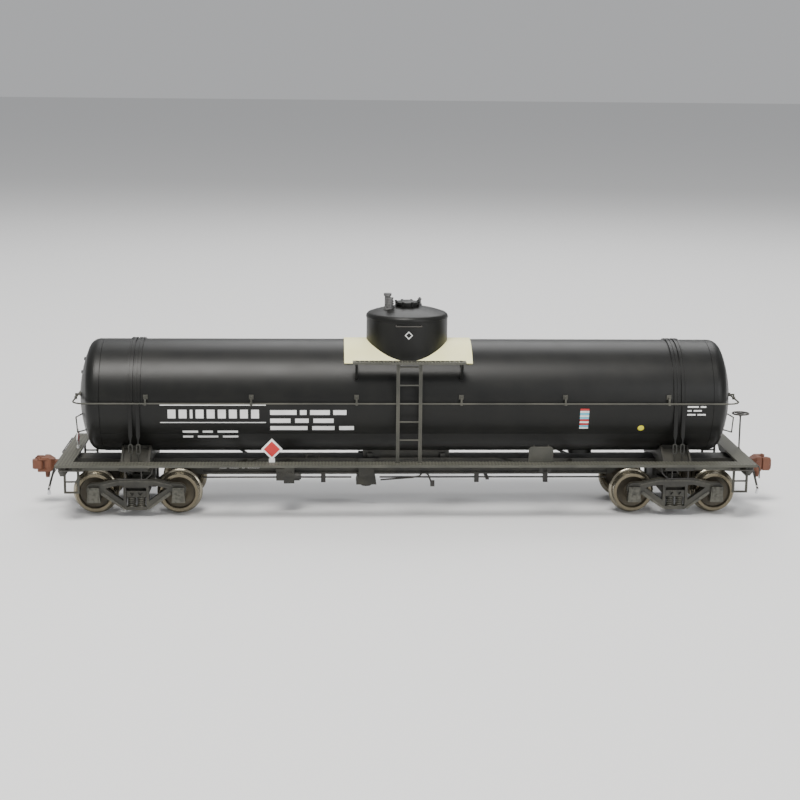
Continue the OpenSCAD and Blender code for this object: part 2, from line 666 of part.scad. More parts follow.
// Diamond boards on short stems: one on each side and one at end A
diamond_half = 2.5;
diamond_t = 0.3;
diamond_x = 32;
stem_h = 0.6;
module diamond() {
    translate([0, diamond_t / 2, 0]) rotate([90, 0, 0])
        linear_extrude(diamond_t) polygon([
            [0, 0], [diamond_half, diamond_half], [0, 2 * diamond_half], [-diamond_half, diamond_half]]);
}
module placard_diamonds() color(diamond_red) {
    for (side = [-1, 1])
        translate([side * diamond_x, side * (board_in_y + 0.3), board_z + stem_h]) {
            diamond();
            translate([-0.7, -0.3, -stem_h]) cube([1.4, 0.6, stem_h + 0.25]);
        }
    translate([-board_end_x - 0.9, 1.1, board_z + stem_h - 0.4]) rotate([0, 0, 90]) {
        scale(0.92) diamond();
        translate([-0.7, -0.3, -stem_h + 0.4]) cube([1.4, 0.6, stem_h]);
    }
}

// ---- Brake gear and pipes ----

// Brake valve: a bracket on the near side of the sill with the valve portions on it
brake_valve_x = -28.2;
brake_valve_y = 7.2;
module brake_valve() color(frame_black) translate([brake_valve_x, -brake_valve_y, 0]) {
    block([-3.0, -1.8, 8.1], [-1.2, 1.4, 10.9]);
    block([-1.2, -1.8, 7.4], [1.3, 1.4, 11.4]);
    block([-1.0, 1.4, 9.2], [1.1, brake_valve_y - sill_w / 2 + 0.4, 10.8]);
    along_x([1.3, -0.8, 8.9], 2.0, 1.3);
    along_x([2.6, -0.8, 8.9], 1.5, 0.3);
    along_y([0.05, -2.1, 9.6], 1.3, 0.4);
    along_y([-2.1, -2.1, 9.5], 1.0, 0.4);
    for (x = [-0.9, 1.0], z = [7.8, 11.0]) along_y([x, -2.0, z], 0.35, 0.3);
}

// Two-part air reservoir on the far side of the sill, with its hangers
reservoir_y = 7.4;
reservoir_z = 8.3;
reservoir_d = 4.0;
module air_reservoir() color(frame_black) {
    along_x([-24, reservoir_y, reservoir_z], reservoir_d, 6.6);
    along_x([-17.4, reservoir_y, reservoir_z], reservoir_d + 0.5, 0.5);
    along_x([-16.9, reservoir_y, reservoir_z], reservoir_d, 5);
    for (x = [-24.6, -11.9]) along_x([x, reservoir_y, reservoir_z], reservoir_d - 1, 0.6);
    for (x = [-22, -14.5])
        block([x, sill_w / 2 - web_d, web_low_z + 0.1], [x + 0.8, reservoir_y, reservoir_z + 1.6]);
}

// Brake cylinder on the far side, its push rod towards the levers
cylinder_x = 9;
module brake_cylinder() color(frame_black) {
    along_x([cylinder_x, reservoir_y, reservoir_z], 3.8, 6.4);
    along_x([cylinder_x + 6.4, reservoir_y, reservoir_z], 4.3, 0.7);
    along_x([cylinder_x + 7.1, reservoir_y, reservoir_z], 2.4, 0.8);
    along_x([cylinder_x + 7.9, reservoir_y, reservoir_z], 0.7, 3.2);
    for (i = [0:5]) rotate_about([0, reservoir_y, reservoir_z], 60 * i)
        along_x([cylinder_x + 7, reservoir_y + 1.7, reservoir_z], 0.35, 0.25);
    block([cylinder_x + 1.2, sill_w / 2 - web_d, web_low_z + 0.02],
          [cylinder_x + 5, reservoir_y, reservoir_z + 1.5]);
}
module rotate_about(at, a) { translate(at) rotate([a, 0, 0]) translate(-at) children(); }

// Rods, levers and hangers under the sill
rod_d = 0.4;
rod_z = 7.3;
rod_line_y = -2.2;
hanger_xs = [-20, 17.2, 34];
module brake_rods() color(frame_black) {
    along_x([-sill_rise_x + 1, rod_line_y, rod_z], rod_d, sill_rise_x - 14.2);
    along_x([-6.4, rod_line_y, rod_z], rod_d, sill_rise_x + 6.4 - 1);
    wire(concat([[-6.2, -3.4, rod_z - 0.4], [1.6, -3.4, rod_z + 0.2]],
        arc_points([4.4, -3.4, rod_z + 0.1], X, [0, 0, 1], 1.2, 160, 20, 6),
        [[6.0, -3.4, rod_z - 0.7], [6.3, -3.4, rod_z - 1.9]]), rod_d, Y);
    block([5.9, -3.75, rod_z - 2.0], [6.9, -3.0, rod_z - 0.6]);
    for (x = hanger_xs) difference() {
        block([x - 0.55, rod_line_y - 0.45, rod_z - 1.2], [x + 0.55, rod_line_y + 0.45, sill_bottom_z]);
        block([x - 1, rod_line_y - 0.21, rod_z - 0.5], [x + 1, rod_line_y + 0.21, rod_z + 0.5]);
    }
    // Floating lever across the sill to the cylinder's rod
    block([cylinder_x + 10.4, rod_line_y - 0.6, rod_z - 0.55],
          [cylinder_x + 11.2, reservoir_y + 0.6, rod_z - 0.21]);
    translate([cylinder_x + 10.8, rod_line_y, rod_z - 0.55]) cylinder(d = 0.5, h = 0.9);
    translate([cylinder_x + 10.8, reservoir_y, rod_z - 0.55]) cylinder(d = 0.5, h = 1.3);
}

// Train pipe along the near side of the sill
pipe_d = 0.6;
union_d = 1.0;
pipe_y = -(sill_w + union_d) / 2;
module train_pipe() color(frame_black) {
    wire([[-37.5, pipe_y, sill_top_z - 1.2], [-35.5, pipe_y, sill_top_z - 0.2],
          [-34, pipe_y, sill_top_z + 0.1],
          [-12.6, pipe_y, sill_top_z + 0.1]], pipe_d, Y);
    wire([[-6.6, pipe_y, sill_top_z + 0.1], [22, pipe_y, sill_top_z + 0.1],
          [24, pipe_y, sill_top_z - 0.5], [26, pipe_y, sill_top_z - 1.4]], pipe_d, Y);
    for (x = [-24.5, -21.5]) {
        along_x([x, pipe_y, sill_top_z + 0.1], union_d, 0.9);
        translate([x + 0.45, pipe_y, sill_top_z + 0.1]) cylinder(d = 0.4, h = 1.0);
    }
    block([-24.8, pipe_y - 0.15, sill_top_z + 1.1], [-22.4, pipe_y + 0.15, sill_top_z + 1.3]);
}

// Bottom outlet: a chamber saddled round the sill and a flared skirt under it
outlet_x = -9.6;
module bottom_outlet() color(frame_black) translate([outlet_x, 0, 0]) {
    difference() {
        block([-1.9, -4.2, sill_bottom_z - 0.5], [1.9, 4.2, sill_top_z + 0.2]);
        block([-3, -sill_w / 2 - 0.01, sill_bottom_z], [3, sill_w / 2 + 0.01, 2 * sill_top_z]);
    }
    difference() {
        plate_xz([[-2.1, sill_bottom_z - 0.5], [-2.45, sill_bottom_z - 2.6],
                  [2.45, sill_bottom_z - 2.6], [2.1, sill_bottom_z - 0.5]], -3.4, 3.4);
        plate_xz([[-1.7, sill_bottom_z - 1.0], [-2.05, sill_bottom_z - 2.8],
                  [2.05, sill_bottom_z - 2.8], [1.7, sill_bottom_z - 1.0]], -3.0, 3.0);
    }
    translate([0, 0, sill_bottom_z - 3.2]) cylinder(d = 2.2, h = 2.5);
    translate([0, 0, sill_bottom_z - 3.5]) cylinder(d = 2.6, h = 0.6, $fn = 8);
}

// Air hoses beside the couplers, hanging from angle cocks, with metal glad hands
hose_d = 0.5;
hose_x = platform_x + 0.7;
hose_y = -6;
hose_z = 11.2;
module hose_path() {
    wire([[hose_x, hose_y, hose_z], [hose_x + 0.9, hose_y, hose_z - 0.35],
          [hose_x + 1.35, hose_y, hose_z - 1.2],
          [hose_x + 2.0, hose_y, hose_z - 3.6], [hose_x + 2.7, hose_y, hose_z - 6.0]], hose_d, Y);
    block([hose_x - 0.55, hose_y - 0.35, hose_z - 0.35], [hose_x + 0.1, hose_y + 0.35, hose_z + 0.35]);
    along_x([end_sill_x + end_sill_t, hose_y, hose_z], 0.5, hose_x - 0.5 - end_sill_x - end_sill_t);
}
module air_hoses() color(black) both_ends() hose_path();
module glad_hands() color([0.72, 0.72, 0.74]) both_ends()
    translate([hose_x + 2.7, hose_y, hose_z - 6.0]) rotate([0, 16, 0]) {
        translate([0, 0, -0.6]) cylinder(d = 0.6, h = 0.6);
        block([-0.2, -0.22, -1.2], [0.5, 0.22, -0.55]);
    }

// Uncoupling levers: a bar across the end in two brackets, its handle at the corner
lever_x = platform_x + 0.9;
lever_z = board_under_z - 0.35;
module uncoupling_lever() {
    wire([[lever_x, -half_w + 1.4, lever_z - 2.6], [lever_x, -half_w + 1.4, lever_z],
          [lever_x, -1.1, lever_z], [lever_x, -0.9, lever_z - 0.25]], wire_d, X);
    for (y = [-half_w + 4.2, -3.4])
        block([end_sill_x + end_sill_t, y - 0.2, lever_z - 0.35], [lever_x + 0.25, y + 0.2, lever_z - 0.14]);
}
module uncoupling_levers() color(frame_black) {
    uncoupling_lever();
    rotate([0, 0, 180]) uncoupling_lever();
}

// ---- Draft boxes and screws ----

lid_t = 0.45;
lid_z = coupler_z - 0.85 - 0.1 - lid_t;
box_ceiling_z = coupler_z + 1.0;
module draft_boxes() color(frame_black) both_ends() {
    difference() {
        block([box_rear_x, -box_half_y, lid_z + lid_t], [box_front_x, box_half_y, sill_top_z]);
        block([box_rear_x + 0.6, -box_half_y + 0.6, 0], [box_front_x + 1, box_half_y - 0.6, box_ceiling_z]);
    }
    difference() {
        translate([coupler_pivot_x, 0, lid_z + lid_t])
            cylinder(r = pivot_r, h = box_ceiling_z - lid_z - lid_t);
        translate([coupler_pivot_x, 0, 0]) cylinder(r = screw_r, h = box_ceiling_z - 0.2);
    }
}
screw_r = 0.4;
module draft_box_lids() color(frame_black) both_ends() difference() {
    block([box_rear_x, -box_half_y, lid_z], [box_front_x, box_half_y, lid_z + lid_t]);
    translate([coupler_pivot_x, 0, 0]) cylinder(r = screw_r + 0.05, h = coupler_z);
}

bolster_bottom_z = 5.0;
kingpin_head_r = 1.6;
kingpin_head_h = 0.45;
module slotted_head(r, h) difference() {
    cylinder(r = r, h = h);
    translate([0, 0, h * 0.2 - 1]) cube([3 * r, 0.35, 2], center = true);
}
module chassis_screws() color([0.45, 0.44, 0.42]) both_ends() {
    translate([bolster_x, 0, bolster_bottom_z + 0.05]) {
        slotted_head(kingpin_head_r, kingpin_head_h);
        cylinder(r = kingpin_r, h = pin_z - bolster_bottom_z - 0.25);
    }
    translate([coupler_pivot_x, 0, lid_z - 0.4]) {
        slotted_head(0.8, 0.4);
        cylinder(r = screw_r, h = 2.4);
    }
}

// Hand brake: an upright staff with a flat spoked wheel
brake_wheel_r = 2.15;
brake_wheel_z = tank_z - 5.1;
module brake_staff() color(frame_black) translate([staff_x, staff_y, 0]) {
    translate([0, 0, staff_foot_z]) cylinder(r = staff_r, h = brake_wheel_z - staff_foot_z);
    translate([0, 0, brake_wheel_z - 0.9]) cylinder(r1 = staff_r, r2 = 0.5, h = 0.9);
    translate([0, 0, brake_wheel_z]) {
        rotate_extrude() translate([brake_wheel_r - 0.2, 0.05]) circle(r = 0.2, $fn = 24);
        cylinder(r = 0.5, h = 0.22);
        for (i = [0:4]) rotate([0, 0, 72 * i])
            translate([0, -0.13, -0.03]) cube([brake_wheel_r - 0.2, 0.26, 0.18]);
    }
    translate([0, 0, board_under_z + 0.1]) cylinder(r = staff_r + 0.1, h = 0.25);
}

// ---- Trucks ----

// Places a child in the truck at end A or end B
module at_truck(end) { translate([end * bolster_x, 0, 0]) children(); }

half_base = wheelbase / 2;
frame_in_y = wheel_face_y + 0.6;
frame_t = 1.4;
frame_out_y = frame_in_y + frame_t;
box_out_y = frame_out_y + 0.8;
nest_half = 2.35;
nest_low_z = axle_z - 2.9;
nest_high_z = axle_z + 1.8;
axle_half = frame_out_y - 0.1;

// Right half of the sideframe's outline, from the top centre round to the bottom centre
frame_half = concat(
    [[0, axle_z + 3.85], [4.2, axle_z + 3.75], [half_base - 1.6, axle_z + 2.85]],
    [for (i = [0:5]) let (a = 80 - 26 * i)
        [half_base + 0.25 + 1.55 * cos(a), axle_z + 1.25 + 1.5 * sin(a)]],
    [[half_base - 1.7, axle_z + 0.15], [2.3, axle_z - 3.72], [0, axle_z - 3.72]]);
window = [[half_base - 2.7, axle_z + 1.55], [4.3, axle_z + 2.3], [nest_half + 0.65, axle_z + 2.2],
          [nest_half + 0.65, axle_z - 1.45]];

// A sideframe with its windows, raised chords, journal boxes and hinged lids; the bearing
// holes are blind and end in a cone
module sideframe() {
    difference() {
        union() {
            plate_xz(mirrored(frame_half), -frame_out_y, -frame_in_y);
            for (s = [-1, 1]) translate([s * half_base, 0, axle_z]) {
                plate_xz([[-1.3, 1.9], [-1.55, -1.75], [1.55, -1.75], [1.3, 1.9]], -box_out_y, -frame_in_y);
                plate_xz([[-1.0, 1.5], [-1.15, -1.4], [1.15, -1.4], [1.0, 1.5]],
                         -box_out_y - 0.15, -box_out_y + 0.1);
                block([-0.5, -box_out_y - 0.3, 1.35], [0.5, -box_out_y + 0.1, 2.0]);
                along_y([0, -box_out_y - 0.4, -0.15], 0.8, 0.5);
            }
            for (s = [-1, 1]) plate_xz([
                [s * 2.6, axle_z - 3.5], [s * 2.9, axle_z - 3.0], [s * (half_base - 2.1), axle_z + 0.75],
                [s * (half_base - 1.7), axle_z + 0.4], [s * (half_base - 1.7), axle_z + 0.05],
                [s * 3.0, axle_z - 3.5]],
                -frame_out_y - 0.22, -frame_out_y + 0.1);
            plate_xz(mirrored([[0, axle_z + 3.6], [4.0, axle_z + 3.5], [half_base - 1.6, axle_z + 2.55],
                [half_base - 1.6, axle_z + 2.25], [4.0, axle_z + 3.1], [0, axle_z + 3.2]]),
                -frame_out_y - 0.18, -frame_out_y + 0.1);
        }
        for (s = [-1, 1]) plate_xz([for (p = window) [s * p[0], p[1]]], -2 * box_out_y, 0);
        block([-nest_half, -2 * box_out_y, nest_low_z], [nest_half, 0, nest_high_z]);
        for (s = [-1, 1]) translate([s * half_base, -frame_in_y + 1, axle_z]) rotate([90, 0, 0]) {
            cylinder(r = journal_r + journal_play, h = axle_half - frame_in_y + 1 - 0.3);
            translate([0, 0, axle_half - frame_in_y + 1 - 0.3])
                cylinder(r1 = journal_r + journal_play, r2 = 0.02, h = journal_r + 0.1);
        }
    }
}
module sideframes_a() color(frame_black) at_truck(-1) both_sides() sideframe();
module sideframes_b() color(frame_black) at_truck(1) both_sides() sideframe();

// Springs seen in each sideframe's nest: two turned columns of coils on each side
coil_n = 5;
spring_h = 2.3;
spring_r = 0.95;
module coil_column() rotate_extrude($fn = 32) polygon(concat(
    [[0, 0]],
    [for (i = [0:coil_n - 1]) each [
        [spring_r - 0.22, spring_h * i / coil_n], [spring_r, spring_h * (i + 0.3) / coil_n],
        [spring_r, spring_h * (i + 0.7) / coil_n]]],
    [[spring_r - 0.22, spring_h], [0, spring_h]]));
module truck_springs() both_sides() for (x = [-1.12, 1.12])
    translate([x, -frame_out_y + frame_t / 2, nest_low_z]) coil_column();
module truck_springs_a() color(frame_black) at_truck(-1) truck_springs();
module truck_springs_b() color(frame_black) at_truck(1) truck_springs();

// Truck bolster: a beam from nest to nest, resting on the springs, with the centre
// bearing, side bearings and the brake beams' hangers
bolster_end_z = nest_low_z + spring_h;
module truck_bolster() difference() {
    union() {
        block([-nest_half + 0.08, -frame_out_y + 0.15, bolster_end_z],
              [nest_half - 0.08, frame_out_y - 0.15, bolster_end_z + 1.55]);
        block([-2.7, -frame_in_y + 0.35, bolster_bottom_z], [2.7, frame_in_y - 0.35, axle_z + 2.6]);
        translate([0, 0, axle_z + 2]) cylinder(r = 3.3, h = centre_plate_z - 0.02 - axle_z - 2);
        both_sides() block([-1.2, -8.3, axle_z + 2], [1.2, -6.3, centre_plate_z - 0.25]);
    }
    translate([0, 0, -1]) cylinder(r = kingpin_r + 0.08, h = 2 * axle_z + 10);
    translate([0, 0, -1]) cylinder(r = kingpin_head_r + 0.12, h = bolster_bottom_z + 0.6 + 1);
    // Pockets in the bolster's ends
    both_sides() for (x = [-0.95, 0.95])
        translate([x, -frame_out_y + 0.1, bolster_end_z + 0.75]) rotate([90, 0, 0])
            linear_extrude(1, center = true) polygon([[-0.6, 0.4], [0.6, 0.4], [0, -0.4]]);
}
module truck_bolster_a() color(frame_black) at_truck(-1) truck_bolster();
module truck_bolster_b() color(frame_black) at_truck(1) truck_bolster();

// Axle: a plain middle, journals that turn in the sideframes, and needle points
journal_in_y = wheel_face_y - 0.1;
module axle(x) translate([x, 0, axle_z]) rotate([-90, 0, 0]) {
    cylinder(r = axle_r, h = 2 * journal_in_y, center = true);
    for (s = [0, 180]) rotate([s, 0, 0]) {
        cylinder(r = journal_r, h = axle_half - 0.35);
        translate([0, 0, axle_half - 0.35]) cylinder(r1 = journal_r, r2 = 0.04, h = journal_r - 0.05);
    }
}
module axle_a1() color(wheel_steel) axle(-bolster_x - half_base);
module axle_a2() color(wheel_steel) axle(-bolster_x + half_base);
module axle_b1() color(wheel_steel) axle(bolster_x - half_base);
module axle_b2() color(wheel_steel) axle(bolster_x + half_base);

// Wheel section as [radius, distance from the back face]: hub, dished plate, rim and flange
hub_r = 1.6;
rim_in_r = tread_r - 0.95;
wheel_section = [
    [axle_r, 0.35], [hub_r, 0.35], [hub_r + 0.15, 0.85], [rim_in_r - 0.3, 1.1], [rim_in_r, 0.5],
    [rim_in_r, 0], [tread_r + 0.35, 0], [tread_r + 0.52, 0.06], [tread_r + 0.63, 0.2],
    [flange_r, 0.36], [tread_r + 0.62, 0.52], [tread_r + 0.45, 0.68], [tread_r + 0.15, 0.84],
    [tread_r + 0.02, 1.05], [tread_r - 0.1, wheel_w - 0.15], [tread_r - 0.22, wheel_w],
    [rim_in_r + 0.05, wheel_w], [rim_in_r - 0.1, wheel_w - 0.15], [rim_in_r - 0.2, 1.95],
    [hub_r + 0.45, 1.7], [hub_r + 0.1, 2.0], [hub_r, wheel_w - 0.25], [axle_r, wheel_w - 0.25]];
module wheel_pair(x) for (s = [-90, 90])
    translate([x, (s < 0 ? 1 : -1) * back_to_back / 2, axle_z]) rotate([s, 0, 0])
        rotate_extrude($fn = 96) polygon(wheel_section);
module wheels_a1() color(wheel_steel) wheel_pair(-bolster_x - half_base);
module wheels_a2() color(wheel_steel) wheel_pair(-bolster_x + half_base);
module wheels_b1() color(wheel_steel) wheel_pair(bolster_x - half_base);
module wheels_b2() color(wheel_steel) wheel_pair(bolster_x + half_base);

// ---- Couplers, drawn with the swing pivot at the origin and the mouth towards +X ----

head_h = 3.5;
shank_h = 1.7;
head_u = coupler_reach - 5.3;
face_u = coupler_reach - 0.25;
knuckle_u = coupler_reach - 1.95;
knuckle_v = 1.3;
knuckle_pin_r = 0.3;
lug_h = 0.6;
slot_u = head_u + 2.55;
module at_coupler() { translate([coupler_pivot_x, 0, coupler_z]) children(); }

// Seen from the side: the head's top and bottom slope in towards the shank and the face
head_side = [[head_u - 1, -0.9], [head_u + 0.5, -1.45], [head_u + 0.9, -head_h / 2],
    [slot_u, -head_h / 2], [slot_u + 0.35, -head_h / 2 + 0.2], [face_u - 0.5, -head_h / 2 + 0.2],
    [face_u, -head_h / 2 + 0.7], [face_u, head_h / 2 - 0.7], [face_u - 0.5, head_h / 2 - 0.2],
    [slot_u + 0.35, head_h / 2 - 0.2], [slot_u, head_h / 2], [head_u + 1.5, head_h / 2],
    [head_u + 0.9, head_h / 2 - 0.35], [head_u + 0.3, 1.2], [head_u - 1, 0.9]];
module coupler() difference() {
    union() {
        // Shank with its ring round the pivot post
        translate([0, 0, -shank_h / 2]) cylinder(r = pivot_r + 0.62, h = shank_h);
        translate([0.9, -0.8, -shank_h / 2]) cube([head_u, 1.6, shank_h]);
        // Head with the guard arm on one side
        intersection() {
            translate([0, 0, -head_h / 2]) linear_extrude(head_h) polygon([
                [head_u, -0.95], [head_u + 0.6, -1.5], [head_u + 1.4, -1.95], [face_u - 0.6, -1.95],
                [face_u, -1.5], [face_u, -1.2], [head_u + 3.0, -0.75], [head_u + 2.3, 0.1],
                [head_u + 2.3, 1.5], [head_u + 1.5, 1.9], [head_u + 0.8, 1.75], [head_u, 0.95]]);
            plate_xz(head_side, -3, 3);
        }
        // Lugs that hold the knuckle's pin
        for (z = [-head_h / 2, head_h / 2 - lug_h]) translate([0, 0, z]) {
            linear_extrude(lug_h)
                polygon([[head_u + 1.5, 0.5], [knuckle_u, 0.6], [knuckle_u, 1.95], [head_u + 1.5, 1.85]]);
            translate([knuckle_u, knuckle_v, 0]) cylinder(r = 0.7, h = lug_h);
        }
        translate([knuckle_u, knuckle_v, -head_h / 2]) cylinder(r = knuckle_pin_r, h = head_h + 0.2);
        // Lock lifter under the head and the lock's boss on its side
        translate([head_u + 1.9, -0.2, -head_h / 2 - 1.7]) cylinder(r1 = 0.5, r2 = 0.65, h = 1.75);
        along_y([head_u + 1.6, -2.15, 0.35], 0.9, 0.5);
    }
    translate([0, 0, -2]) cylinder(r = pivot_r + pivot_play, h = 4);
    // The slot between the guard arm and the head
    block([slot_u, -3, -head_h], [slot_u + 0.4, -1.35, head_h]);
}
module coupler_a() color(rust) rotate([0, 0, 180]) at_coupler() coupler();
module coupler_b() color(rust) at_coupler() coupler();

// Knuckle: an eye on the pin and a hooked finger across the mouth
knuckle_h = head_h - 2 * lug_h - 0.16;
module knuckle() translate([0, 0, -knuckle_h / 2]) difference() {
    union() {
        translate([knuckle_u, knuckle_v, 0]) cylinder(r = 0.7, h = knuckle_h);
        linear_extrude(knuckle_h) polygon([
            [knuckle_u + 0.1, knuckle_v + 0.64], [coupler_reach - 0.5, knuckle_v + 0.35],
            [coupler_reach, knuckle_v - 0.25], [coupler_reach, -0.1], [coupler_reach - 0.3, -0.45],
            [coupler_reach - 0.95, -0.45], [coupler_reach - 1.05, 0.2], [knuckle_u + 0.35, knuckle_v - 0.5]]);
    }
    translate([knuckle_u, knuckle_v, -1]) cylinder(r = knuckle_pin_r + pivot_play, h = knuckle_h + 2);
}
module knuckle_a() color(rust) rotate([0, 0, 180]) at_coupler() knuckle();
module knuckle_b() color(rust) at_coupler() knuckle();

tank_barrel();
tank_head_a();
tank_head_b();
ballast_bar();
tank_bands();
band_turnbuckles();
dome_shell();
dome_apron();
manway_cover();
manway_bolts();
dome_valves();
board_outriggers();
dome_grab_irons();
dome_walkways();
walkway_brackets();
ladders();
handrail();
handrail_posts();
head_grab_irons();
centre_sill();
body_bolsters();
tank_anchor();
running_boards();
end_platforms();
end_sills();
sill_steps();
wire_grabs();
placard_board();
placard_diamonds();
brake_valve();
air_reservoir();
brake_cylinder();
brake_rods();
train_pipe();
bottom_outlet();
air_hoses();
glad_hands();
uncoupling_levers();
draft_boxes();
draft_box_lids();
chassis_screws();
brake_staff();
truck_bolster_a();
truck_bolster_b();
sideframes_a();
sideframes_b();
truck_springs_a();
truck_springs_b();
axle_a1();
axle_a2();
axle_b1();
axle_b2();
wheels_a1();
wheels_a2();
wheels_b1();
wheels_b2();
coupler_a();
coupler_b();
knuckle_a();
knuckle_b();
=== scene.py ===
# %% [markdown]
# # A model tank wagon, finished in Blender
# The engineering model brings every wagon part at its true size, in metres, with the
# wheels' flanges on z = 0. This lesson gives those parts their paint, steel and dust,
# and adds the finest pieces as surfaces worked out with numpy. We start by loading the
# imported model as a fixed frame: nothing that comes from it is moved or reshaped.

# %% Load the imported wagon
import bpy
import math
import numpy as np
from mathutils import Matrix, Vector


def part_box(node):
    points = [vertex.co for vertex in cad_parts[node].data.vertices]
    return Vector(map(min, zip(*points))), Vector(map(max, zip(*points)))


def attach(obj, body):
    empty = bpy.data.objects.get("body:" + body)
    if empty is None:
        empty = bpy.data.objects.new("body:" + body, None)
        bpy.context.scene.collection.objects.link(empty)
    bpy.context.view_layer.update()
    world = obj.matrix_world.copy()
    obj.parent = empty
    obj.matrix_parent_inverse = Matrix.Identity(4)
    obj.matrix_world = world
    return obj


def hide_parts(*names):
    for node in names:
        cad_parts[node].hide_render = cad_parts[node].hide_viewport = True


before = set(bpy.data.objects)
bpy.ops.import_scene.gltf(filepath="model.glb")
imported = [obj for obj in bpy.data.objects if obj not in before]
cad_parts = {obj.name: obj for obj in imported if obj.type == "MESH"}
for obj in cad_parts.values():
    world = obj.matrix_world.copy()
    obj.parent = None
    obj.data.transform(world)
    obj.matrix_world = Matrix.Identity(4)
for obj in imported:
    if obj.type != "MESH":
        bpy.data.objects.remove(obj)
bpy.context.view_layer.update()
scene = bpy.context.scene
MM = 0.001

# %% [markdown]
# ## Reference sizes
# Many new pieces take their place from the boxes of the parts that they sit on, and the
# others from sizes given in millimetres. The tank is round, so its box gives both its
# axis and its radius.

# %% Read the tank's size from its own boxes
head_low, head_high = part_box("tank_head_a")
barrel_low, barrel_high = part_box("tank_barrel")
TANK_R = (head_high.y - head_low.y) / 2
TANK_Z = (head_high.z + head_low.z) / 2
SEAM_X = barrel_high.x
board_low, board_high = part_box("running_boards")
print("tank radius %.2f mm, axis at z %.2f mm" % (TANK_R / MM, TANK_Z / MM))

# %% [markdown]
# ## Camera
# A short telephoto lens stands to the front and a little above, turned a few degrees
# to the right, the way a model is shown in a catalogue. We build the camera's axes from
# yaw, pitch and roll, then write them into its matrix as columns: right, up and
# backwards.

# %% Place the camera
CAMERA_AT = Vector((-0.0195, -0.3930, 0.1036))
YAW, PITCH, ROLL = math.radians(2.624), math.radians(-11.173), math.radians(0.555)
forward = Vector((math.sin(YAW) * math.cos(PITCH), math.cos(YAW) * math.cos(PITCH), math.sin(PITCH)))
level = Vector((math.cos(YAW), -math.sin(YAW), 0.0))
upward = level.cross(forward)
right = level * math.cos(ROLL) + upward * math.sin(ROLL)
up = upward * math.cos(ROLL) - level * math.sin(ROLL)
camera_data = bpy.data.cameras.new("catalogue_camera")
camera = bpy.data.objects.new("catalogue_camera", camera_data)
scene.collection.objects.link(camera)
camera.matrix_world = Matrix(((right.x, up.x, -forward.x, CAMERA_AT.x), (right.y, up.y, -forward.y, CAMERA_AT.y),
                              (right.z, up.z, -forward.z, CAMERA_AT.z), (0, 0, 0, 1)))
camera_data.lens = 74.6
camera_data.sensor_width = 36
camera_data.clip_start = 0.01
camera_data.dof.use_dof = False
scene.camera = camera
print("camera %.0f mm from the wagon" % (CAMERA_AT.length / MM))

# %% [markdown]
# ## Floor and light
# A model photographs best on a plain pale sweep under large soft lamps. One big lamp
# hangs above and in front, which draws the long highlight along the tank, a second one
# fills the shadows of the underframe, and a pale world lights everything else.

# %% Build the floor and three soft lamps
floor_mesh = bpy.data.meshes.new("studio_floor")
floor_mesh.from_pydata([(-6, -6, 0), (6, -6, 0), (6, 6, 0), (-6, 6, 0)], [], [(0, 1, 2, 3)])
floor_mesh.update()
studio_floor = bpy.data.objects.new("studio_floor", floor_mesh)
scene.collection.objects.link(studio_floor)


def soft_lamp(name, at, towards, size, power, colour):
    """A square area lamp of the given edge and power, at one point, facing another."""
    data = bpy.data.lights.new(name, "AREA")
    data.shape = "SQUARE"
    data.size = size
    data.energy = power
    data.color = colour
    lamp = bpy.data.objects.new(name, data)
    scene.collection.objects.link(lamp)
    lamp.location = at
    lamp.rotation_euler = (Vector(towards) - Vector(at)).to_track_quat("-Z", "Y").to_euler()
    return lamp


soft_lamp("key_lamp", (-0.12, -0.38, 0.80), (0, 0, 0.02), 0.34, 9.5, (1.0, 0.98, 0.94))
soft_lamp("fill_lamp", (0.50, -0.80, 0.34), (0, 0, 0.02), 0.45, 3.0, (0.97, 0.98, 1.0))
soft_lamp("rim_lamp", (0.10, 0.50, 0.60), (0, 0, 0.03), 0.50, 3.0, (1.0, 1.0, 1.0))
world = bpy.data.worlds.new("studio_world")
scene.world = world
world.use_nodes = True
sky = world.node_tree.nodes["Background"]
sky.inputs["Color"].default_value = (0.93, 0.94, 0.96, 1)
sky.inputs["Strength"].default_value = 0.50
print("three lamps over a plain floor")

# %% [markdown]
# ## Shared finishes as node groups
# Paint, plastic and steel differ, but they all gather the same dust and show the same
# fine grain. Each such effect is one node group, built once, and every material sets its
# own amount. A group gives out only a mask or a value, and the shader stays in the
# material.


# %% Small helpers for node trees
def new_group(name, inputs, outputs):
    """An empty shader group with float inputs (name, default) and outputs (name, type)."""
    tree = bpy.data.node_groups.new(name, "ShaderNodeTree")
    for label, value in inputs:
        socket = tree.interface.new_socket(label, in_out="INPUT", socket_type="NodeSocketFloat")
        socket.default_value = value
    for label, kind in outputs:
        tree.interface.new_socket(label, in_out="OUTPUT", socket_type=kind)
    return tree, tree.nodes.new("NodeGroupInput"), tree.nodes.new("NodeGroupOutput")


def calc(tree, kind, a, b=None, clamp=False):
    """One Math node: a and b are numbers or sockets, and its result comes back."""
    node = tree.nodes.new("ShaderNodeMath")
    node.operation = kind
    node.use_clamp = clamp
    for socket, value in zip(node.inputs, (a, b)):
        if value is None:
            continue
        if isinstance(value, (int, float)):
            socket.default_value = value
        else:
            tree.links.new(value, socket)
    return node.outputs[0]


def noise(tree, vector, scale, detail=3.0, roughness=0.5):
    """A noise texture's value, about 0.5 on average, with features 1 / scale metres wide."""
    node = tree.nodes.new("ShaderNodeTexNoise")
    node.inputs["Detail"].default_value = detail
    node.inputs["Roughness"].default_value = roughness
    if isinstance(scale, (int, float)):
        node.inputs["Scale"].default_value = scale
    else:
        tree.links.new(scale, node.inputs["Scale"])
    tree.links.new(vector, node.inputs["Vector"])
    return node.outputs[0]


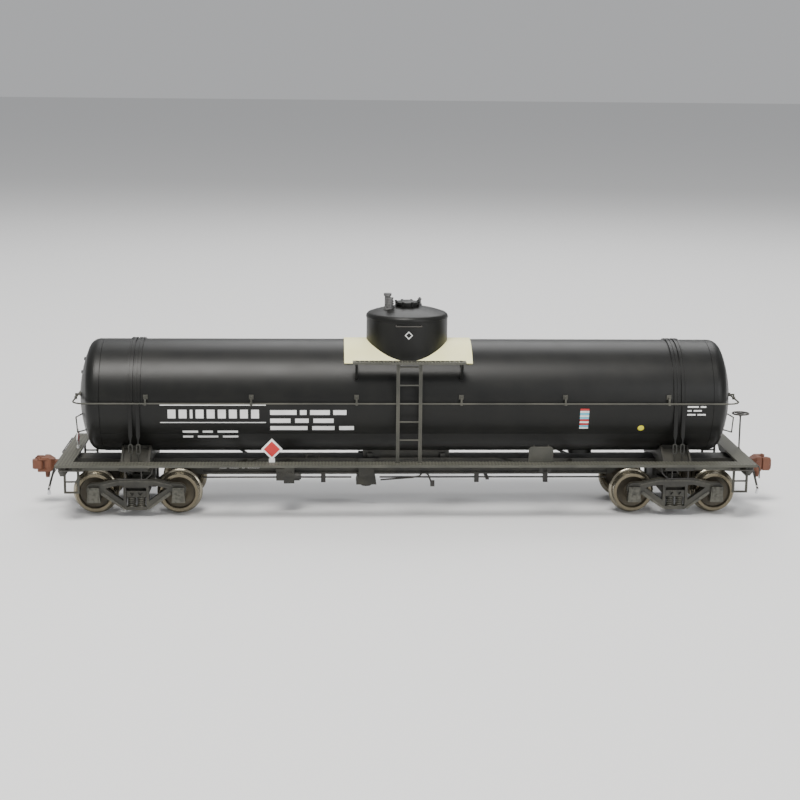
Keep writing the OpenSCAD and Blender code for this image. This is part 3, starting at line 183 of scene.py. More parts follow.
def object_coordinates(tree):
    """Object coordinates, in metres, the same for every part because all sit at the origin."""
    return tree.nodes.new("ShaderNodeTexCoord").outputs["Object"]


def ramp(tree, value, low, high):
    """Value stretched so that low becomes 0 and high becomes 1, held between the two."""
    node = tree.nodes.new("ShaderNodeMapRange")
    for label, number in (("From Min", low), ("From Max", high), ("To Min", 0.0), ("To Max", 1.0)):
        node.inputs[label].default_value = number
    tree.links.new(value, node.inputs["Value"])
    return node.outputs[0]


# %% Dust: a mask that is strongest low on the wagon and on faces that look up
dust_group, dust_in, dust_out = new_group(
    "track_dust", [("Amount", 0.5), ("Reach", 0.016)], [("Mask", "NodeSocketFloat")])
where = object_coordinates(dust_group)
split = dust_group.nodes.new("ShaderNodeSeparateXYZ")
dust_group.links.new(where, split.inputs[0])
facing = dust_group.nodes.new("ShaderNodeNewGeometry")
facing_split = dust_group.nodes.new("ShaderNodeSeparateXYZ")
dust_group.links.new(facing.outputs["Normal"], facing_split.inputs[0])
height = calc(dust_group, "DIVIDE", split.outputs["Z"], dust_in.outputs["Reach"])
low_down = calc(dust_group, "SUBTRACT", 1.0, height, clamp=True)
upward_share = calc(dust_group, "MULTIPLY", calc(dust_group, "MAXIMUM", facing_split.outputs["Z"], 0.0), 0.45)
patches = ramp(dust_group, noise(dust_group, where, 420.0, 5.0, 0.62), 0.38, 0.66)
specks = ramp(dust_group, noise(dust_group, where, 2600.0, 2.0, 0.6), 0.50, 0.72)
spread = calc(dust_group, "ADD", low_down, upward_share)
broken = calc(dust_group, "ADD", calc(dust_group, "MULTIPLY", patches, 0.75), calc(dust_group, "MULTIPLY", specks, 0.35))
mask = calc(dust_group, "MULTIPLY", calc(dust_group, "MULTIPLY", spread, broken), dust_in.outputs["Amount"], clamp=True)
dust_group.links.new(mask, dust_out.inputs["Mask"])

# %% Grain: the fine skin of a moulded or sprayed surface, as a height
grain_group, grain_in, grain_out = new_group(
    "fine_grain", [("Scale", 3000.0), ("Amount", 1.0)], [("Height", "NodeSocketFloat"), ("Value", "NodeSocketFloat")])
where = object_coordinates(grain_group)
fine = noise(grain_group, where, grain_in.outputs["Scale"], 3.0, 0.55)
broad = noise(grain_group, where, 160.0, 4.0, 0.5)
grain_group.links.new(calc(grain_group, "MULTIPLY", fine, grain_in.outputs["Amount"]), grain_out.inputs["Height"])
grain_group.links.new(broad, grain_out.inputs["Value"])
print("two shared groups: dust and grain")


# %% A material that mixes a clean colour with dust, over fine grain
def finish(name, clean, varied, dust, roughness, metallic=0.0, dust_amount=0.5, grain=0.02,
           grain_scale=3000.0, reach=0.016, coat=0.0, specular=0.5):
    """Clean and varied colours are mixed by broad noise, dust colour goes on top where the
    dust mask says, roughness rises with the dust, and the grain feeds a Bump node."""
    material = bpy.data.materials.new(name)
    material.use_nodes = True
    tree = material.node_tree
    shader = tree.nodes["Principled BSDF"]
    skin = tree.nodes.new("ShaderNodeGroup")
    skin.node_tree = grain_group
    skin.inputs["Scale"].default_value = grain_scale
    skin.inputs["Amount"].default_value = 1.0
    dirt = tree.nodes.new("ShaderNodeGroup")
    dirt.node_tree = dust_group
    dirt.inputs["Amount"].default_value = dust_amount
    dirt.inputs["Reach"].default_value = reach
    body = tree.nodes.new("ShaderNodeMix")
    body.data_type = "RGBA"
    body.inputs["A"].default_value = (*clean, 1)
    body.inputs["B"].default_value = (*varied, 1)
    tree.links.new(ramp(tree, skin.outputs["Value"], 0.36, 0.64), body.inputs["Factor"])
    dusty = tree.nodes.new("ShaderNodeMix")
    dusty.data_type = "RGBA"
    dusty.inputs["B"].default_value = (*dust, 1)
    tree.links.new(dirt.outputs["Mask"], dusty.inputs["Factor"])
    tree.links.new(body.outputs["Result"], dusty.inputs["A"])
    tree.links.new(dusty.outputs["Result"], shader.inputs["Base Color"])
    rough = calc(tree, "ADD", calc(tree, "MULTIPLY", dirt.outputs["Mask"], 0.35),
                 calc(tree, "ADD", calc(tree, "MULTIPLY", skin.outputs["Value"], 0.12), roughness - 0.06), clamp=True)
    tree.links.new(rough, shader.inputs["Roughness"])
    bump = tree.nodes.new("ShaderNodeBump")
    bump.inputs["Strength"].default_value = 1.0
    bump.inputs["Distance"].default_value = grain * MM
    tree.links.new(skin.outputs["Height"], bump.inputs["Height"])
    tree.links.new(bump.outputs["Normal"], shader.inputs["Normal"])
    shader.inputs["Metallic"].default_value = metallic
    shader.inputs["Specular IOR Level"].default_value = specular
    shader.inputs["Coat Weight"].default_value = coat
    shader.inputs["Coat Roughness"].default_value = 0.25
    return material


# %% [markdown]
# ## The wagon's paints
# The tank is satin black, a little olive where light rakes it. The underframe is the same
# plastic left matte, browned by track dust. The boards are drawn a grey olive, lighter than
# the frame: a painted reflection of the light they throw back, which also lets their dotted
# grating read. The ladders are a grey olive too, and the couplers are a flat rust brown.

# %% Make one material for each finish
DUST = (0.125, 0.112, 0.082)
tank_paint = finish("tank_black", (0.0042, 0.0044, 0.0040), (0.0070, 0.0071, 0.0060), (0.05, 0.047, 0.038), 0.40,
                    dust_amount=0.07, grain=0.005, grain_scale=2400.0, reach=0.03, specular=0.30)
frame_paint = finish("frame_black", (0.016, 0.016, 0.0135), (0.034, 0.033, 0.026), DUST, 0.58,
                     dust_amount=0.40, grain=0.02)
truck_paint = finish("truck_black", (0.022, 0.022, 0.0185), (0.046, 0.045, 0.036), DUST, 0.52,
                     dust_amount=0.42, grain=0.02)
wire_paint = finish("wire_black", (0.022, 0.021, 0.019), (0.045, 0.041, 0.036), DUST, 0.50, dust_amount=0.3, grain=0.01)
rail_paint = finish("rail_grey", (0.040, 0.040, 0.032), (0.070, 0.068, 0.054), DUST, 0.55, dust_amount=0.25, grain=0.01)
cream_paint = finish("cream_paint", (0.90, 0.86, 0.44), (0.93, 0.89, 0.50), (0.60, 0.53, 0.33), 0.50,
                     dust_amount=0.12, grain=0.01, reach=0.01)
valve_paint = finish("valve_metal", (0.085, 0.085, 0.088), (0.16, 0.158, 0.155), DUST, 0.38, metallic=0.6,
                     dust_amount=0.15, grain=0.01)
rust_paint = finish("rust_brown", (0.105, 0.036, 0.020), (0.175, 0.066, 0.034), (0.15, 0.095, 0.06), 0.66,
                    dust_amount=0.25, grain=0.03, grain_scale=1800.0)
bare_steel = finish("bare_steel", (0.46, 0.45, 0.44), (0.60, 0.59, 0.57), DUST, 0.30, metallic=1.0, dust_amount=0.15)
hose_rubber = finish("hose_rubber", (0.012, 0.012, 0.012), (0.022, 0.021, 0.020), DUST, 0.70, dust_amount=0.35)
silver_paint = finish("silver", (0.62, 0.63, 0.65), (0.78, 0.79, 0.80), DUST, 0.35, metallic=0.7, dust_amount=0.1)
print("eleven plain finishes")

# %% [markdown]
# ## Painted highlight on the truck castings
# The raised ribs and the journal box lids of the dark castings are drawn paler: a painted
# highlight where light would catch them. The sideframes' raised details all stand further
# from the wagon's middle than the casting's flat face, so the distance from the middle
# plane is the mask.

# %% A painted highlight where the sideframe's details stand proud
side_low, side_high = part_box("sideframes_a")


def paint_raised_highlight(material, start, full, pale):
    """Paints a highlight: mixes a pale colour in as |y| grows from start to full, broken up by fine noise."""
    tree = material.node_tree
    shader = tree.nodes["Principled BSDF"]
    where = object_coordinates(tree)
    split = tree.nodes.new("ShaderNodeSeparateXYZ")
    tree.links.new(where, split.inputs[0])
    proud = ramp(tree, calc(tree, "ABSOLUTE", split.outputs["Y"]), start, full)
    broken = calc(tree, "MULTIPLY", proud, ramp(tree, noise(tree, where, 1500.0, 3.0), 0.30, 0.55))
    # painted highlight: the pale colour is mixed in on the raised details
    highlight_mix = tree.nodes.new("ShaderNodeMix")
    highlight_mix.data_type = "RGBA"
    highlight_mix.inputs["B"].default_value = (*pale, 1)
    tree.links.new(calc(tree, "MULTIPLY", broken, 0.75), highlight_mix.inputs["Factor"])
    tree.links.new(shader.inputs["Base Color"].links[0].from_socket, highlight_mix.inputs["A"])
    tree.links.new(highlight_mix.outputs["Result"], shader.inputs["Base Color"])


# painted highlight: the sideframes' raised details are drawn paler where light would catch them
paint_raised_highlight(truck_paint, side_high.y - 1.12 * MM, side_high.y - 0.95 * MM, (0.125, 0.122, 0.098))
print("painted a highlight on the sideframes beyond y = %.2f mm" % ((side_high.y - 1.12 * MM) / MM))

# %% [markdown]
# ## Dotted grating
# The boards that a worker walks on are a pressed grating: rows of small raised rings with a
# hole in each. At this scale the holes are a third of a millimetre wide, so they are drawn
# by the material. Two cosine waves at right angles make a height that peaks at every hole.
# The same height dents the surface, darkens the holes as painted shade, and lightens the rings as a painted highlight.

# %% The grating group and the board material
grate_group, grate_in, grate_out = new_group(
    "dotted_grating", [("Pitch", 0.00066)], [("Hole", "NodeSocketFloat"), ("Ring", "NodeSocketFloat")])
where = grate_group.nodes.new("ShaderNodeSeparateXYZ")
grate_group.links.new(object_coordinates(grate_group), where.inputs[0])
turns = calc(grate_group, "DIVIDE", 2 * math.pi, grate_in.outputs["Pitch"])
wave_x = calc(grate_group, "COSINE", calc(grate_group, "MULTIPLY", where.outputs["X"], turns))
wave_y = calc(grate_group, "COSINE", calc(grate_group, "MULTIPLY", where.outputs["Y"], turns))
peak = calc(grate_group, "ADD", wave_x, wave_y)
flat_on = grate_group.nodes.new("ShaderNodeNewGeometry")
flat_split = grate_group.nodes.new("ShaderNodeSeparateXYZ")
grate_group.links.new(flat_on.outputs["Normal"], flat_split.inputs[0])
level_face = ramp(grate_group, calc(grate_group, "ABSOLUTE", flat_split.outputs["Z"]), 0.7, 0.9)
grate_group.links.new(calc(grate_group, "MULTIPLY", ramp(grate_group, peak, 0.15, 0.75), level_face), grate_out.inputs["Hole"])
grate_group.links.new(calc(grate_group, "MULTIPLY", ramp(grate_group, peak, -1.0, -0.1), level_face), grate_out.inputs["Ring"])


def grating(name, clean, varied, pitch):
    """A finish with the grating over it: rings raised, with a painted highlight, and holes sunk, with painted shade."""
    material = finish(name, clean, varied, DUST, 0.60, dust_amount=0.22, grain=0.01, reach=0.012)
    tree = material.node_tree
    shader = tree.nodes["Principled BSDF"]
    dots = tree.nodes.new("ShaderNodeGroup")
    dots.node_tree = grate_group
    dots.inputs["Pitch"].default_value = pitch
    base = shader.inputs["Base Color"].links[0].from_socket
    ring_highlight = tree.nodes.new("ShaderNodeMix")
    ring_highlight.data_type = "RGBA"
    # painted highlight: the raised rings are drawn paler than the board
    ring_highlight.inputs["B"].default_value = (varied[0] * 2.6, varied[1] * 2.6, varied[2] * 2.5, 1)
    tree.links.new(calc(tree, "MULTIPLY", dots.outputs["Ring"], 0.8), ring_highlight.inputs["Factor"])
    tree.links.new(base, ring_highlight.inputs["A"])
    hole_shade = tree.nodes.new("ShaderNodeMix")
    hole_shade.data_type = "RGBA"
    # painted shade: the holes are drawn near black
    hole_shade.inputs["B"].default_value = (0.012, 0.012, 0.011, 1)
    tree.links.new(dots.outputs["Hole"], hole_shade.inputs["Factor"])
    tree.links.new(ring_highlight.outputs["Result"], hole_shade.inputs["A"])
    tree.links.new(hole_shade.outputs["Result"], shader.inputs["Base Color"])
    bump = shader.inputs["Normal"].links[0].from_node
    skin = bump.inputs["Height"].links[0].from_socket
    raised = calc(tree, "SUBTRACT", dots.outputs["Ring"], calc(tree, "MULTIPLY", dots.outputs["Hole"], 2.0))
    bump.inputs["Distance"].default_value = 0.05 * MM
    tree.links.new(calc(tree, "ADD", calc(tree, "MULTIPLY", skin, 0.3), raised), bump.inputs["Height"])
    return material


# painted reflection: the boards' grey olive, lighter than the frame, stands for the light they throw back
board_reflection_paint = grating("board_grey", (0.046, 0.046, 0.037), (0.074, 0.073, 0.058), 0.00078)
walkway_reflection_paint = grating("walkway_grey", (0.050, 0.050, 0.040), (0.080, 0.078, 0.062), 0.00070)
print("two boards with dotted grating")

# %% [markdown]
# ## Wheel steel
# A running wheel is polished only where it meets the rail and rubs the brake, so tread
# and rim shine in a warm bronze tone while the dished plate is dark with dust. The
# distance from the axle gives all of it, and since the four axles stand at four places,
# the function takes the axle's place and builds one material for each wheelset.


# %% One steel for each wheelset, by distance from its own axle
def wheel_steel(name, axle_x, axle_z):
    """Distance d = square root of (x - axle x) squared + (z - axle z) squared. Below the
    rim's inner radius the plate is dark, on the rim it is dull bronze, and the tread and flange are brighter."""
    material = finish(name, (0.040, 0.034, 0.024), (0.085, 0.072, 0.048), DUST, 0.46, metallic=0.6,
                      dust_amount=0.22, grain=0.012, reach=0.010)
    tree = material.node_tree
    shader = tree.nodes["Principled BSDF"]
    place = tree.nodes.new("ShaderNodeMapping")
    place.inputs["Location"].default_value = (-axle_x, 0, -axle_z)
    tree.links.new(object_coordinates(tree), place.inputs["Vector"])
    split = tree.nodes.new("ShaderNodeSeparateXYZ")
    tree.links.new(place.outputs[0], split.inputs[0])
    squares = calc(tree, "ADD", calc(tree, "MULTIPLY", split.outputs["X"], split.outputs["X"]),
                   calc(tree, "MULTIPLY", split.outputs["Z"], split.outputs["Z"]))
    distance = calc(tree, "SQRT", squares)
    wander = calc(tree, "MULTIPLY", noise(tree, place.outputs[0], 900.0, 3.0), 0.00022)
    rim = ramp(tree, calc(tree, "ADD", distance, wander), 0.00378, 0.00402)
    tread = ramp(tree, distance, 0.00452, 0.00460)
    turning = noise(tree, place.outputs[0], 5200.0, 2.0)
    bronze = tree.nodes.new("ShaderNodeMix")
    bronze.data_type = "RGBA"
    bronze.inputs["A"].default_value = (0.115, 0.100, 0.070, 1)
    bronze.inputs["B"].default_value = (0.205, 0.180, 0.130, 1)
    tree.links.new(turning, bronze.inputs["Factor"])
    plated = tree.nodes.new("ShaderNodeMix")
    plated.data_type = "RGBA"
    tree.links.new(rim, plated.inputs["Factor"])
    tree.links.new(shader.inputs["Base Color"].links[0].from_socket, plated.inputs["A"])
    tree.links.new(bronze.outputs["Result"], plated.inputs["B"])
    flanged = tree.nodes.new("ShaderNodeMix")
    flanged.data_type = "RGBA"
    flanged.inputs["B"].default_value = (0.30, 0.275, 0.215, 1)
    tree.links.new(tread, flanged.inputs["Factor"])
    tree.links.new(plated.outputs["Result"], flanged.inputs["A"])
    tree.links.new(flanged.outputs["Result"], shader.inputs["Base Color"])
    tree.links.new(calc(tree, "ADD", calc(tree, "MULTIPLY", rim, 0.60), 0.35, clamp=True), shader.inputs["Metallic"])
    rough = shader.inputs["Roughness"].links[0].from_socket
    tree.links.new(calc(tree, "SUBTRACT", rough, calc(tree, "MULTIPLY", rim, 0.25), clamp=True), shader.inputs["Roughness"])
    return material


wheel_paints = {}
for wheelset in ("a1", "a2", "b1", "b2"):
    low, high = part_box("wheels_" + wheelset)
    middle = (low + high) / 2
    wheel_paints[wheelset] = wheel_steel("wheel_steel_" + wheelset, middle.x, middle.z)
print("four wheel steels")

# %% [markdown]
# ## Painting the engineering parts
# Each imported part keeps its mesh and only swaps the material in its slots. A table from
# part to paint keeps this in one place.

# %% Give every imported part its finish
paints = {
    "tank_barrel": tank_paint, "tank_head_a": tank_paint, "tank_head_b": tank_paint, "dome_shell": tank_paint,
    "tank_bands": tank_paint, "manway_cover": tank_paint, "manway_bolts": tank_paint, "walkway_brackets": tank_paint,
    "dome_apron": cream_paint, "dome_valves": valve_paint, "ballast_bar": bare_steel, "chassis_screws": bare_steel,
    "dome_walkways": walkway_reflection_paint, "running_boards": board_reflection_paint, "end_platforms": board_reflection_paint,
    "ladders": rail_paint, "handrail": rail_paint, "handrail_posts": rail_paint, "placard_board": rail_paint,
    "air_hoses": hose_rubber, "glad_hands": silver_paint, "band_turnbuckles": frame_paint,
}
for name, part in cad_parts.items():
    if name in paints:
        paint = paints[name]
    elif name.startswith(("wheels_", "axle_")):
        paint = wheel_paints[name.split("_")[1]]
    elif name.startswith(("coupler_", "knuckle_")):
        paint = rust_paint
    elif name.startswith(("truck_", "sideframes_")):
        paint = truck_paint
    elif name in ("dome_grab_irons", "head_grab_irons", "wire_grabs", "brake_rods", "uncoupling_levers", "brake_staff"):
        paint = wire_paint
    else:
        paint = frame_paint
    part.data.materials.clear()
    part.data.materials.append(paint)
print("painted", len(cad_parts), "parts")

# %% [markdown]
# ## Surfaces from numpy grids
# The remaining pieces are too fine or too plain for engineering parts: painted bars,
# coil springs, hoses and rivets. Each is a grid of points worked out in one go, and one
# helper turns grids into a mesh. A grid may wrap round on either side to make a tube or
# a ring.


# %% Turn one or more grids into a mesh object
def grid_faces(rows, columns, wrap_rows=False, wrap_columns=False, start=0):
    """Corner numbers of the quads between neighbouring rows and columns of a grid."""
    i = np.arange(rows if wrap_rows else rows - 1)
    j = np.arange(columns if wrap_columns else columns - 1)
    i, j = np.meshgrid(i, j, indexing="ij")
    i2, j2 = (i + 1) % rows, (j + 1) % columns
    return (np.stack([i * columns + j, i2 * columns + j, i2 * columns + j2, i * columns + j2], -1)
            .reshape(-1, 4) + start)


def make_piece(name, points, faces, paint, body, smooth=True):
    """A mesh object from an n by 3 array of points and an m by 4 array of corner numbers."""
    mesh = bpy.data.meshes.new(name)
    faces = np.asarray(faces, np.int32)
    mesh.vertices.add(len(points))
    mesh.vertices.foreach_set("co", np.asarray(points, np.float32).ravel())
    mesh.loops.add(faces.size)
    mesh.loops.foreach_set("vertex_index", faces.ravel())
    mesh.polygons.add(len(faces))
    mesh.polygons.foreach_set("loop_start", np.arange(0, faces.size, 4, dtype=np.int32))
    mesh.update(calc_edges=True)
    mesh.validate()
    mesh.polygons.foreach_set("use_smooth", np.full(len(mesh.polygons), smooth))
    mesh.materials.append(paint)
    piece = bpy.data.objects.new(name, mesh)
    scene.collection.objects.link(piece)
    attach(piece, body)
    return piece


def slab(outer, inner, start=0):
    """A closed slab between two equal grids: outer faces, inner faces turned round, four edges."""
    rows, columns = outer.shape[:2]
    points = np.concatenate([outer.reshape(-1, 3), inner.reshape(-1, 3)])
    n = rows * columns
    top = grid_faces(rows, columns)
    ring = np.concatenate([np.arange(columns), np.arange(1, rows) * columns + columns - 1,
                           (rows - 1) * columns + np.arange(columns - 2, -1, -1),
                           np.arange(rows - 2, 0, -1) * columns])
    nxt = np.roll(ring, -1)
    edge = np.stack([nxt, ring, ring + n, nxt + n], -1)
    return points, np.concatenate([top, top[:, ::-1] + n, edge[:, ::-1]]) + start


# %% [markdown]
# ## Painted marks on the tank
# The side of a tank wagon is lettered with its number and capacities. Plain white bars
# stand in for all of that lettering. Each bar is a patch of the tank's own cylinder,
# lifted off it by two hundredths of a millimetre and given a thickness, so it bends with
# the tank and casts no odd shadow. The lower sheet of the tank laps over the upper one,
# so bars under the seam sit a little further out.


# %% Bars wrapped round the tank
def plain_paint(name, colour, roughness=0.5):
    """A flat decal colour that is scuffed by broad noise and lightly dusted."""
    scuffed = tuple(0.86 * c for c in colour)
    return finish(name, colour, scuffed, DUST, roughness, dust_amount=0.12, grain=0.004, reach=0.03)


white_paint = plain_paint("mark_white", (0.90, 0.90, 0.88))
red_paint = plain_paint("mark_red", (0.55, 0.025, 0.025))
blue_paint = plain_paint("mark_blue", (0.16, 0.58, 0.74))
yellow_paint = plain_paint("mark_yellow", (0.86, 0.78, 0.05))
SEAM_ANGLE, LAP, LIFT, FILM = -32.0, 0.08, 0.035, 0.03


def tank_point(x, angle, radius, side):
    """A point on a cylinder round the tank's axis: x along it, angle in degrees above
    level, side -1 for the near face and +1 for the far one."""
    a = np.radians(angle)
    return np.stack(np.broadcast_arrays(x * MM, side * radius * np.cos(a), TANK_Z + radius * np.sin(a)), -1)


def tank_bars(name, bars, paint, sides=(-1, 1)):
    """Bars as (first x, last x, first angle, last angle); the far side is the near side
    turned half a turn about the wagon's middle, so both read from left to right."""
    points, faces, count = [], [], 0
    for side in sides:
        for x0, x1, low_angle, high_angle in bars:
            steps = max(2, int(abs(high_angle - low_angle) / 2) + 2)
            x = np.linspace(x0, x1, max(2, int(abs(x1 - x0) / 4) + 2))[:, None] * (-side)
            angle = np.linspace(low_angle, high_angle, steps)[None, :]
            lap = LAP if (low_angle + high_angle) / 2 < SEAM_ANGLE else 0.0
            reach = TANK_R + (lap + LIFT) * MM
            outer = tank_point(x, angle, reach, side)
            inner = tank_point(x, angle, reach - FILM * MM, side)
            p, f = slab(outer, inner, count)
            points.append(p)
            faces.append(f)
            count += len(p)
    return make_piece(name, np.concatenate(points), np.concatenate(faces), paint, "wagon", smooth=False)


def words(x0, x1, angle, half_height, lengths, gap):
    """A row of bars whose lengths share the row from x0 to x1, with equal gaps."""
    free = (x1 - x0) - gap * (len(lengths) - 1)
    ends = x0 + np.cumsum(np.array(lengths) * free / sum(lengths)) + gap * np.arange(len(lengths))
    starts = ends - np.array(lengths) * free / sum(lengths)
    return [(a, b, angle - half_height, angle + half_height) for a, b in zip(starts, ends)]


marks = [(-58.0, -33.4, -0.45, 0.45), (-58.0, -33.4, -19.05, -18.15)]
marks += words(-56.2, -35.0, -9.3, 4.6, [3, 3, 1, 3, 3, 3, 3, 3, 3], 0.75)
marks += words(-52.9, -40.0, -30.0, 1.35, [3, 2, 4], 1.1)
marks += words(-52.9, -40.0, -36.6, 1.35, [2, 4, 3], 1.1)
marks += words(-32.4, -14.6, -7.6, 2.5, [4, 1, 3, 2], 0.8)
marks += words(-32.4, -17.6, -16.6, 2.4, [3, 2, 3], 1.1)
marks += words(-32.4, -12.8, -25.3, 2.4, [5, 3, 2], 1.1)
marks += words(65.8, 70.2, -1.6, 0.8, [2, 1], 0.5)
marks += words(65.8, 69.2, -5.6, 0.8, [1, 2], 0.5)
marks += words(65.8, 70.2, -9.8, 0.8, [1, 1], 0.5)
tank_bars("tank_white_bars", marks, white_paint)
stripe_colours = [red_paint, white_paint, blue_paint, white_paint, blue_paint, red_paint, white_paint, red_paint,
                  blue_paint, white_paint]
groups = {}
for i, paint in enumerate(stripe_colours):
    top = -3.5 - 2.28 * i
    groups.setdefault(paint.name, (paint, []))[1].append((40.4, 42.5, top - 1.95, top))
for key, (paint, bars) in groups.items():
    tank_bars("tank_stripes_" + key.split("_")[1], bars, paint)
print("marks:", len(marks), "white bars and", len(stripe_colours), "stripes on each side")


# %% A round spot and a diamond outline, as rings of two loops
def disc_on_tank(name, x, angle, radius, paint, side):
    """A disc wrapped on the tank: rings of points at growing distance from its centre."""
    rings, around = 5, 28
    r = np.linspace(0.0, radius, rings)[:, None]
    t = np.linspace(0, 2 * np.pi, around, endpoint=False)[None, :]
    dx, dz = r * np.cos(t), r * np.sin(t)
    turn = angle + np.degrees(dz * MM / TANK_R)
    reach = TANK_R + LIFT * MM
    outer = tank_point((x + dx) * (-side), turn, reach, side).reshape(-1, 3)
    inner = tank_point((x + dx) * (-side), turn, reach - FILM * MM, side).reshape(-1, 3)
    n = len(outer)
    faces = grid_faces(rings, around, wrap_columns=True)
    last = (rings - 1) * around + np.arange(around)
    nxt = np.roll(last, -1)
    edge = np.stack([last, nxt, nxt + n, last + n], -1)
    points = np.concatenate([outer, inner])
    return make_piece(name, points, np.concatenate([faces[:, ::-1], faces + n, edge]), paint, "wagon")


for side, label in ((-1, "near"), (1, "far")):
    disc_on_tank("yellow_spot_" + label, 55.1, -25.4, 0.76, yellow_paint, side)
dome_low, dome_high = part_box("dome_shell")
DOME_R = 9.7 * MM


def diamond_loop(name, centre_x, centre_z, half, width, radius, paint, side):
    """A diamond outline wrapped on an upright cylinder: four straight sides between an
    outer and an inner corner loop, with a thickness."""
    t = np.linspace(0, 4, 33)[:-1]
    corner = np.floor(t).astype(int)
    share = (t - corner)[:, None]
    corners = np.array([[1, 0], [0, 1], [-1, 0], [0, -1]], float)
    loop = corners[corner] * (1 - share) + corners[(corner + 1) % 4] * share
    shells = []
    for size, lift in ((half, LIFT), (half - width, LIFT), (half - width, LIFT - FILM), (half, LIFT - FILM)):
        flat = loop * size
        reach = radius + lift * MM
        x = centre_x * MM + flat[:, 0] * MM
        shells.append(np.stack([x, side * np.sqrt(reach ** 2 - x ** 2), (centre_z + flat[:, 1]) * MM], -1))
    points = np.stack(shells, 0)
    faces = grid_faces(4, len(t), wrap_rows=True, wrap_columns=True)
    return make_piece(name, points.reshape(-1, 3), faces if side < 0 else faces[:, ::-1], paint, "wagon", False)


for side, label in ((-1, "near"), (1, "far")):
    diamond_loop("dome_mark_" + label, 0.0, 43.2, 0.95, 0.27, DOME_R, white_paint, side)
print("spots and dome marks")

# %% [markdown]
# ## Coil springs
# Each truck rests on small groups of coil springs inside its sideframes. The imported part
# is a turned column, which is right for collisions, and here a real coil replaces it. A
# tube is a circle carried along a path, and for a spring the path is a helix.


# %% A tube along any path, and a spring along a helix
def tube(path, radius, around=10):
    """A circle carried along a path: at each point the ring lies square to the path's own
    direction, with one axis kept as close as it can be to a fixed side direction. The
    ends are closed by rings of no size."""
    path = np.asarray(path, float)
    radius = np.broadcast_to(np.asarray(radius, float), (len(path),)).copy()
    along = np.gradient(path, axis=0)
    along /= np.linalg.norm(along, axis=1, keepdims=True)
    guide = np.array([0.37, 0.61, 0.70])
    side = np.cross(along, guide)
    side /= np.linalg.norm(side, axis=1, keepdims=True)
    other = np.cross(along, side)
    t = np.linspace(0, 2 * np.pi, around, endpoint=False)
    path = np.concatenate([path[:1], path, path[-1:]])
    side = np.concatenate([side[:1], side, side[-1:]])
    other = np.concatenate([other[:1], other, other[-1:]])
    radius = np.concatenate([[1e-7], radius, [1e-7]])
    ring = np.cos(t)[None, :, None] * side[:, None, :] + np.sin(t)[None, :, None] * other[:, None, :]
    points = path[:, None, :] + radius[:, None, None] * ring
    faces = grid_faces(len(path), around, wrap_columns=True)
    return points.reshape(-1, 3), faces[:, ::-1]


def joined(parts):
    """Several (points, faces) pairs as one, with the corner numbers moved along."""
    starts = np.cumsum([0] + [len(p) for p, _ in parts[:-1]])
    return np.concatenate([p for p, _ in parts]), np.concatenate([f + s for (_, f), s in zip(parts, starts)])


def coil(x, y, low, high, radius, wire, turns):
    """A helix: the angle grows evenly and the height follows it, held level for the first
    and last three quarters of a turn so that the spring stands flat."""
    t = np.linspace(0, 1, int(turns * 26))
    dead = 0.75 / turns
    rise = np.clip((t - dead) / (1 - 2 * dead), 0, 1)
    wave = 2 * np.pi * turns * t
    z = low + wire + (high - low - 2 * wire) * rise
    return tube(np.stack([x + radius * np.cos(wave), y + radius * np.sin(wave), z], -1), wire, 8)


for end in "ab":
    low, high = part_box("truck_springs_" + end)
    outer_r = 0.95 * MM
    middle_x = (low.x + high.x) / 2
    coils = []
    for sx in (-1, 1):
        for y in (low.y + outer_r, high.y - outer_r):
            x = middle_x + sx * ((high.x - low.x) / 2 - outer_r)
            coils.append(coil(x, y, low.z, high.z, outer_r - 0.17 * MM, 0.165 * MM, 5.5))
            coils.append(coil(x, y, low.z, high.z, outer_r - 0.52 * MM, 0.12 * MM, 6.5))
    points, faces = joined(coils)
    springs = make_piece("truck_coils_" + end, points, faces, truck_paint, "truck_" + end)
    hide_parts("truck_springs_" + end)
print("springs:", len(coils), "coils in each truck")

# %% [markdown]
# ## Air hoses
# A brake hose hangs at each end of the wagon. The rubber is a tube along a soft curve,
# with a metal clamp near its top. The curve is a Bezier of four points, worked out for
# all its steps at once, and the small waves in its radius are the hose's woven cover.


# %% Hose with a woven cover, and its clamps
def bezier(a, b, c, d, steps):
    """Cubic curve: (1-t)^3 a + 3 (1-t)^2 t b + 3 (1-t) t^2 c + t^3 d, for t from 0 to 1."""
    t = np.linspace(0, 1, steps)[:, None]
    a, b, c, d = (np.asarray(p, float)[None, :] for p in (a, b, c, d))
    return (1 - t) ** 3 * a + 3 * (1 - t) ** 2 * t * b + 3 * (1 - t) * t * t * c + t ** 3 * d


hose_low, hose_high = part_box("air_hoses")
hand_low, hand_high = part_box("glad_hands")
hose_y = (hose_low.y + hose_high.y) / 2
hose_parts, clamp_parts = [], []
for sign in (-1, 1):
    start_x, end_x = hose_high.x - 3.1 * MM, hose_high.x - 0.25 * MM
    top_z, foot_z = hose_high.z - 0.3 * MM, hose_low.z + 0.1 * MM
    path = bezier((start_x - 1.5 * MM, hose_y, top_z), (start_x + 1.7 * MM, hose_y, top_z),
                  (end_x - 1.0 * MM, hose_y, top_z - 2.6 * MM), (end_x, hose_y, foot_z), 90)
    path[:, 0] *= sign
    weave = 0.25 * MM * (1 + 0.05 * np.sin(np.linspace(0, 2 * np.pi * 26, 90)))
    hose_parts.append(tube(path, weave, 12))
    for share in (0.36, 0.94):
        at = int(share * 89)
        clamp_parts.append(tube(path[at - 2:at + 3], 0.31 * MM, 12))
points, faces = joined(hose_parts)
hoses = make_piece("air_hose_tubes", points, faces, hose_rubber, "wagon")
points, faces = joined(clamp_parts)
make_piece("air_hose_clamps", points, faces, bare_steel, "wagon")
